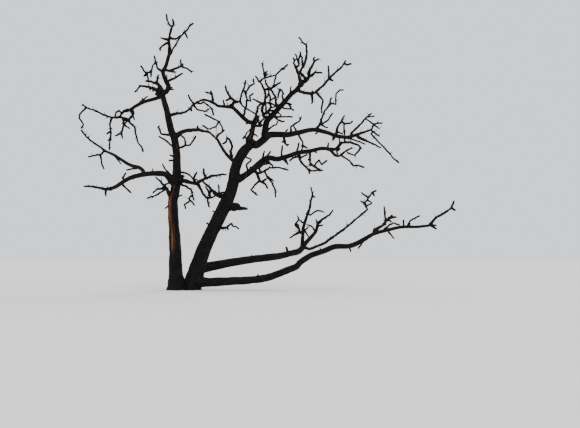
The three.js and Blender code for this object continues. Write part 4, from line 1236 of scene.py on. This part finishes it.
# Runs of edges with the half width and the spray of each point, and the tree that thickens them
def twigEdges(name, index, tree, materials):
    runs = massRuns(name, index)
    points = np.concatenate([piece["run"] for piece in runs])
    points[:, 2] = np.maximum(points[:, 2], twigForm["lowest"])
    edges = []
    first = 0
    for piece in runs:
        edges += [(first + i, first + i + 1) for i in range(len(piece["run"]) - 1)]
        first += len(piece["run"])
    twigs = newPiece(name + "_bark", points.tolist(), edges, [], (
        ("halfWidth", "FLOAT", np.concatenate([piece["radii"] for piece in runs])),
        ("spray", "INT", np.concatenate([np.full(len(piece["run"]), piece["spray"]) for piece in runs])),
    ), materials)
    modifier = twigs.modifiers.new("twigs", "NODES")
    modifier.node_group = tree
    sockets = {item.name: item.identifier for item in tree.interface.items_tree if item.in_out == "INPUT"}
    modifier[sockets["Seed"]] = index + 1
    for word, material in zip(sprayWords, materials):
        modifier[sockets[word + " Finish"]] = material
    return twigs


# Turns what the tree makes into a plain mesh
def settle(pieces):
    graph = bpy.context.evaluated_depsgraph_get()
    made = [bpy.data.meshes.new_from_object(piece.evaluated_get(graph)) for piece in pieces]
    for piece, mesh in zip(pieces, made):
        piece.modifiers.clear()
        mesh.name = piece.name
        piece.data = mesh


# Colours and sizes of each finish
finishes = {
    "charredBark": {
        "char": (0.0045, 0.0043, 0.0043), "ridge": (0.019, 0.0155, 0.0135), "ash": (0.042, 0.037, 0.034),
        "ashShare": 0.2, "plate": 26, "crack": 60, "stretch": 0.2, "depth": 0.006,
        "roughness": (0.96, 0.72),
    },
    "charredTwigs": {
        "char": (0.0042, 0.004, 0.004), "ridge": (0.0125, 0.0108, 0.010), "ash": (0.025, 0.022, 0.021),
        "ashShare": 0.16, "plate": 60, "crack": 120, "stretch": 0.8, "depth": 0.002,
        "roughness": (0.95, 0.75),
    },
    "weatheredTwigs": {
        "char": (0.0062, 0.0055, 0.0052), "ridge": (0.021, 0.0175, 0.016), "ash": (0.042, 0.036, 0.033),
        "ashShare": 0.28, "plate": 55, "crack": 110, "stretch": 0.8, "depth": 0.002,
        "roughness": (0.97, 0.8),
    },
    "scorchedTwigs": {
        "char": (0.007, 0.0052, 0.0043), "ridge": (0.025, 0.0155, 0.0105), "ash": (0.035, 0.026, 0.020),
        "ashShare": 0.2, "plate": 65, "crack": 130, "stretch": 0.8, "depth": 0.002,
        "roughness": (0.92, 0.75),
    },
    "bareWood": {
        "deep": (0.036, 0.010, 0.004), "light": (0.25, 0.098, 0.030), "grain": 70, "stretch": 0.07,
        "relief": 0.15,      # how much of the char's relief is left where it is gone
    },
    "brokenWood": {
        "deep": (0.13, 0.08, 0.045), "light": (0.44, 0.32, 0.21), "grain": 90, "stretch": 1.0,
        "depth": 0.003, "roughness": (0.95, 0.8),
    },
}
# Where the masks of the char begin and end, what they then run between, and what each adds in height
charForm = {
    "plates": (5, 0.62),     # detail and roughness of each noise
    "fibres": (3, 0.6),
    "patches": (4, 0.65),
    "fibreScale": 5,         # to the plates' scale
    "patchScale": 0.12,
    "furrow": (0.0, 0.10),
    "crack": (0.0, 0.09),
    "heights": (0.65, 0.25, 0.3),  # furrows, cracks and fibres
    "ridgeByCrack": (0, 1, 0.45, 1),
    "ridgeByFibre": (0.3, 0.7, 0.45, 1.0),
    "ashBegins": 0.72,
    "ashGain": 0.4,          # how far that drops for a full share of ash
    "ash": (0.0, 0.14),
    "ashByFibre": (0.35, 0.62, 0.15, 1.0),
    "ridgeByForm": (0.1, 0.8, 0.25, 1.0),  # by the ridges of the bark's own shape
    "ashByForm": (0.3, 0.9, 0.1, 0.9),
}
fibreForm = {
    "grain": (6, 0.7),
    "broad": (3, 0.5),
    "broadScale": 0.3,
    "grainLight": (0.42, 0.62, 0, 0.5),
    "broadLight": (0.42, 0.58, 0, 0.6),
}
gloss = 0.1


def maths(tree, operation, first, second=0, clamp=False):
    inputs = {0: first, 1: second}
    return addNode(tree, "ShaderNodeMath", inputs, operation=operation, use_clamp=clamp).outputs[0]


def noise(tree, vector, scale, detail, roughness):
    return addNode(tree, "ShaderNodeTexNoise", {
        "Vector": vector, "Scale": scale, "Detail": detail, "Roughness": roughness}).outputs["Fac"]


# 6 and 7 are the node's sockets for colours
def mixColour(tree, share, first, second):
    return addNode(tree, "ShaderNodeMix", {0: share, 6: first, 7: second}, data_type="RGBA").outputs[2]


def mapRange(tree, value, low, high, toLow=0, toHigh=1):
    inputs = {"Value": value, "From Min": low, "From Max": high, "To Min": toLow, "To Max": toHigh}
    return addNode(tree, "ShaderNodeMapRange", inputs).outputs[0]


# A group's own vector, drawn out along the wood by its own stretch
def stretchedVector(tree, given):
    scale = addNode(tree, "ShaderNodeCombineXYZ", {"X": 1, "Y": 1, "Z": given["Stretch"]})
    inputs = {0: given["Vector"], 1: scale.outputs["Vector"]}
    return addNode(tree, "ShaderNodeVectorMath", inputs, operation="MULTIPLY").outputs["Vector"]


# Long plates parted by furrows, with the small square cracks of charred wood
def charGroup():
    tree, given, ends = newTree("charred plates", "ShaderNodeTree", [
        ("Vector", "Vector"),
        ("Plate Scale", "Float", 26),
        ("Crack Scale", "Float", 60),
        ("Stretch", "Float", 0.2),
        ("Ash Share", "Float", 0.3),
    ], [("Ridge", "Float"), ("Ash", "Float"), ("Height", "Float")])

    def multiply(first, second, clamp=False):
        return maths(tree, "MULTIPLY", first, second, clamp)

    along = stretchedVector(tree, given)
    plates = noise(tree, along, given["Plate Scale"], *charForm["plates"])
    fromMiddle = maths(tree, "ABSOLUTE", maths(tree, "SUBTRACT", plates, 0.5))
    furrow = mapRange(tree, fromMiddle, *charForm["furrow"])
    cells = addNode(tree, "ShaderNodeTexVoronoi", {
        "Vector": given["Vector"], "Scale": given["Crack Scale"]}, feature="DISTANCE_TO_EDGE")
    crack = mapRange(tree, cells.outputs["Distance"], *charForm["crack"])
    fibre = noise(tree, along, multiply(given["Plate Scale"], charForm["fibreScale"]), *charForm["fibres"])
    raised = [multiply(layer, by) for layer, by in zip((furrow, crack, fibre), charForm["heights"])]
    height = maths(tree, "ADD", maths(tree, "ADD", raised[0], raised[1]), raised[2])
    ridge = multiply(furrow, mapRange(tree, crack, *charForm["ridgeByCrack"]))
    ridge = multiply(ridge, mapRange(tree, fibre, *charForm["ridgeByFibre"]))
    patchScale = multiply(given["Plate Scale"], charForm["patchScale"])
    patch = noise(tree, given["Vector"], patchScale, *charForm["patches"])
    gain = multiply(given["Ash Share"], charForm["ashGain"])
    begins = maths(tree, "SUBTRACT", charForm["ashBegins"], gain)
    ash = mapRange(tree, maths(tree, "SUBTRACT", patch, begins), *charForm["ash"])
    ash = multiply(ash, mapRange(tree, fibre, *charForm["ashByFibre"]), clamp=True)
    for name, value in (("Ridge", ridge), ("Ash", ash), ("Height", height)):
        feed(tree, ends[name], value)
    return tree


# Long fibres of wood, light and dark
def fibreGroup():
    tree, given, ends = newTree("wood fibres", "ShaderNodeTree", [
        ("Vector", "Vector"),
        ("Grain Scale", "Float", 90),
        ("Stretch", "Float", 0.08),
    ], [("Light", "Float"), ("Height", "Float")])
    along = stretchedVector(tree, given)
    grain = noise(tree, along, given["Grain Scale"], *fibreForm["grain"])
    broadScale = maths(tree, "MULTIPLY", given["Grain Scale"], fibreForm["broadScale"])
    broad = noise(tree, along, broadScale, *fibreForm["broad"])
    light = maths(tree, "ADD", mapRange(tree, grain, *fibreForm["grainLight"]),
                  mapRange(tree, broad, *fibreForm["broadLight"]))
    feed(tree, ends["Light"], light)
    feed(tree, ends["Height"], grain)
    return tree


def newMaterial(name):
    material = bpy.data.materials.new(name)
    material.use_nodes = True
    shader = material.node_tree.nodes["Principled BSDF"]
    shader.inputs["Specular IOR Level"].default_value = gloss
    return material, material.node_tree, shader


def placeGroup(tree, group, vector, values):
    return addNode(tree, "ShaderNodeGroup", {"Vector": vector, **values}, node_tree=group).outputs


def placePlates(tree, group, vector, look):
    return placeGroup(tree, group, vector, {
        "Plate Scale": look["plate"], "Crack Scale": look["crack"],
        "Stretch": look["stretch"], "Ash Share": look["ashShare"]})


def placeFibres(tree, group, vector, look):
    return placeGroup(tree, group, vector, {"Grain Scale": look["grain"], "Stretch": look["stretch"]})


def pieceVector(tree):
    return addNode(tree, "ShaderNodeTexCoord").outputs["Object"]


# Sets a material's colour, how rough it is by a mask, and its relief
def setFinish(tree, shader, colour, mask, height, look):
    feed(tree, shader.inputs["Base Color"], colour)
    feed(tree, shader.inputs["Roughness"], mapRange(tree, mask, 0, 1, *look["roughness"]))
    bump = addNode(tree, "ShaderNodeBump", {"Strength": 1, "Distance": look["depth"], "Height": height})
    feed(tree, shader.inputs["Normal"], bump.outputs["Normal"])


# The bark of trunk and boughs, with bare brown wood where its mask shows
def charredBark(char, fibres):
    look = finishes["charredBark"]
    wood = finishes["bareWood"]
    material, tree, shader = newMaterial("charred bark")
    vector, form, bare = (
        addNode(tree, "ShaderNodeAttribute", attribute_name=name).outputs[output]
        for name, output in (("barkSpace", "Vector"), ("ridge", "Fac"), ("bareWood", "Fac")))
    plates = placePlates(tree, char, vector, look)
    grain = placeFibres(tree, fibres, vector, wood)
    raised = maths(tree, "MULTIPLY", plates["Ridge"], mapRange(tree, form, *charForm["ridgeByForm"]))
    ash = maths(tree, "MULTIPLY", plates["Ash"], mapRange(tree, form, *charForm["ashByForm"]))
    charred = mixColour(tree, ash, mixColour(tree, raised, look["char"], look["ridge"]), look["ash"])
    brown = mixColour(tree, grain["Light"], wood["deep"], wood["light"])
    height = maths(tree, "MULTIPLY", plates["Height"], mapRange(tree, bare, 0, 1, 1, wood["relief"]))
    height = maths(tree, "ADD", height, maths(tree, "MULTIPLY", grain["Height"], bare))
    setFinish(tree, shader, mixColour(tree, bare, charred, brown), raised, height, look)
    return material


def twigMaterial(name, char):
    look = finishes[name]
    material, tree, shader = newMaterial(name)
    plates = placePlates(tree, char, pieceVector(tree), look)
    colour = mixColour(tree, plates["Ridge"], look["char"], look["ridge"])
    colour = mixColour(tree, plates["Ash"], colour, look["ash"])
    setFinish(tree, shader, colour, plates["Ridge"], plates["Height"], look)
    return material


# The pale wood inside a break
def brokenWoodMaterial(fibres):
    look = finishes["brokenWood"]
    material, tree, shader = newMaterial("broken wood")
    grain = placeFibres(tree, fibres, pieceVector(tree), look)
    colour = mixColour(tree, grain["Light"], look["deep"], look["light"])
    setFinish(tree, shader, colour, grain["Light"], grain["Height"], look)
    return material


char = charGroup()
fibres = fibreGroup()
bark = charredBark(char, fibres)
brokenWood = brokenWoodMaterial(fibres)
twigNames = ("charredTwigs", "weatheredTwigs", "scorchedTwigs")
twigFinishes = [*(twigMaterial(name, char) for name in twigNames), brokenWood]
print("finishes made")

for limbIndex, limbName in enumerate(limbs):
    limbPiece = buildLimb(limbName, limbIndex, bark, brokenWood)
    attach(limbPiece, "root")
    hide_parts(limbName)
print("trunk, stems and boughs made")

growTwigs = twigTree()
twigPieces = [twigEdges(name, index, growTwigs, twigFinishes) for index, name in enumerate(masses)]
settle(twigPieces)
for massName, twigPiece in zip(masses, twigPieces):
    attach(twigPiece, "root")
    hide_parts(massName)
print("twigs made")

# A plain pale floor and soft light
studio = {
    "floorSize": 120,
    "floor": (0.80, 0.80, 0.79),
    "floorRoughness": 0.9,
    "world": (0.93, 0.96, 1.0),
    "worldStrength": 1.3,
    "lamps": {
        "key": {"towards": (-0.6, 0.75, -0.9), "spread": 28, "power": 1.0, "colour": (1.0, 0.97, 0.92)},
        "rim": {"towards": (-0.7, -0.8, -0.7), "spread": 20, "power": 1.2, "colour": (1.0, 0.96, 0.90)},
    },
}


def makeStudio():
    material, tree, shader = newMaterial("plain floor")
    feed(tree, shader.inputs["Base Color"], studio["floor"])
    feed(tree, shader.inputs["Roughness"], studio["floorRoughness"])
    half = studio["floorSize"] / 2
    corners = [(-half, -half, 0), (half, -half, 0), (half, half, 0), (-half, half, 0)]
    floor = newPiece("floor", corners, [], [(0, 1, 2, 3)], (), [material])
    world = bpy.data.worlds.new("studio")
    world.use_nodes = True
    background = world.node_tree.nodes["Background"]
    feed(world.node_tree, background.inputs["Color"], studio["world"])
    feed(world.node_tree, background.inputs["Strength"], studio["worldStrength"])
    bpy.context.scene.world = world
    for name, lamp in studio["lamps"].items():
        light = bpy.data.lights.new(name, "SUN")
        light.angle = math.radians(lamp["spread"])
        light.energy = lamp["power"]
        light.color = lamp["colour"]
        made = bpy.data.objects.new(name, light)
        made.rotation_euler = Vector(lamp["towards"]).to_track_quat("-Z", "Y").to_euler()
        bpy.context.collection.objects.link(made)


makeStudio()
print("studio made")
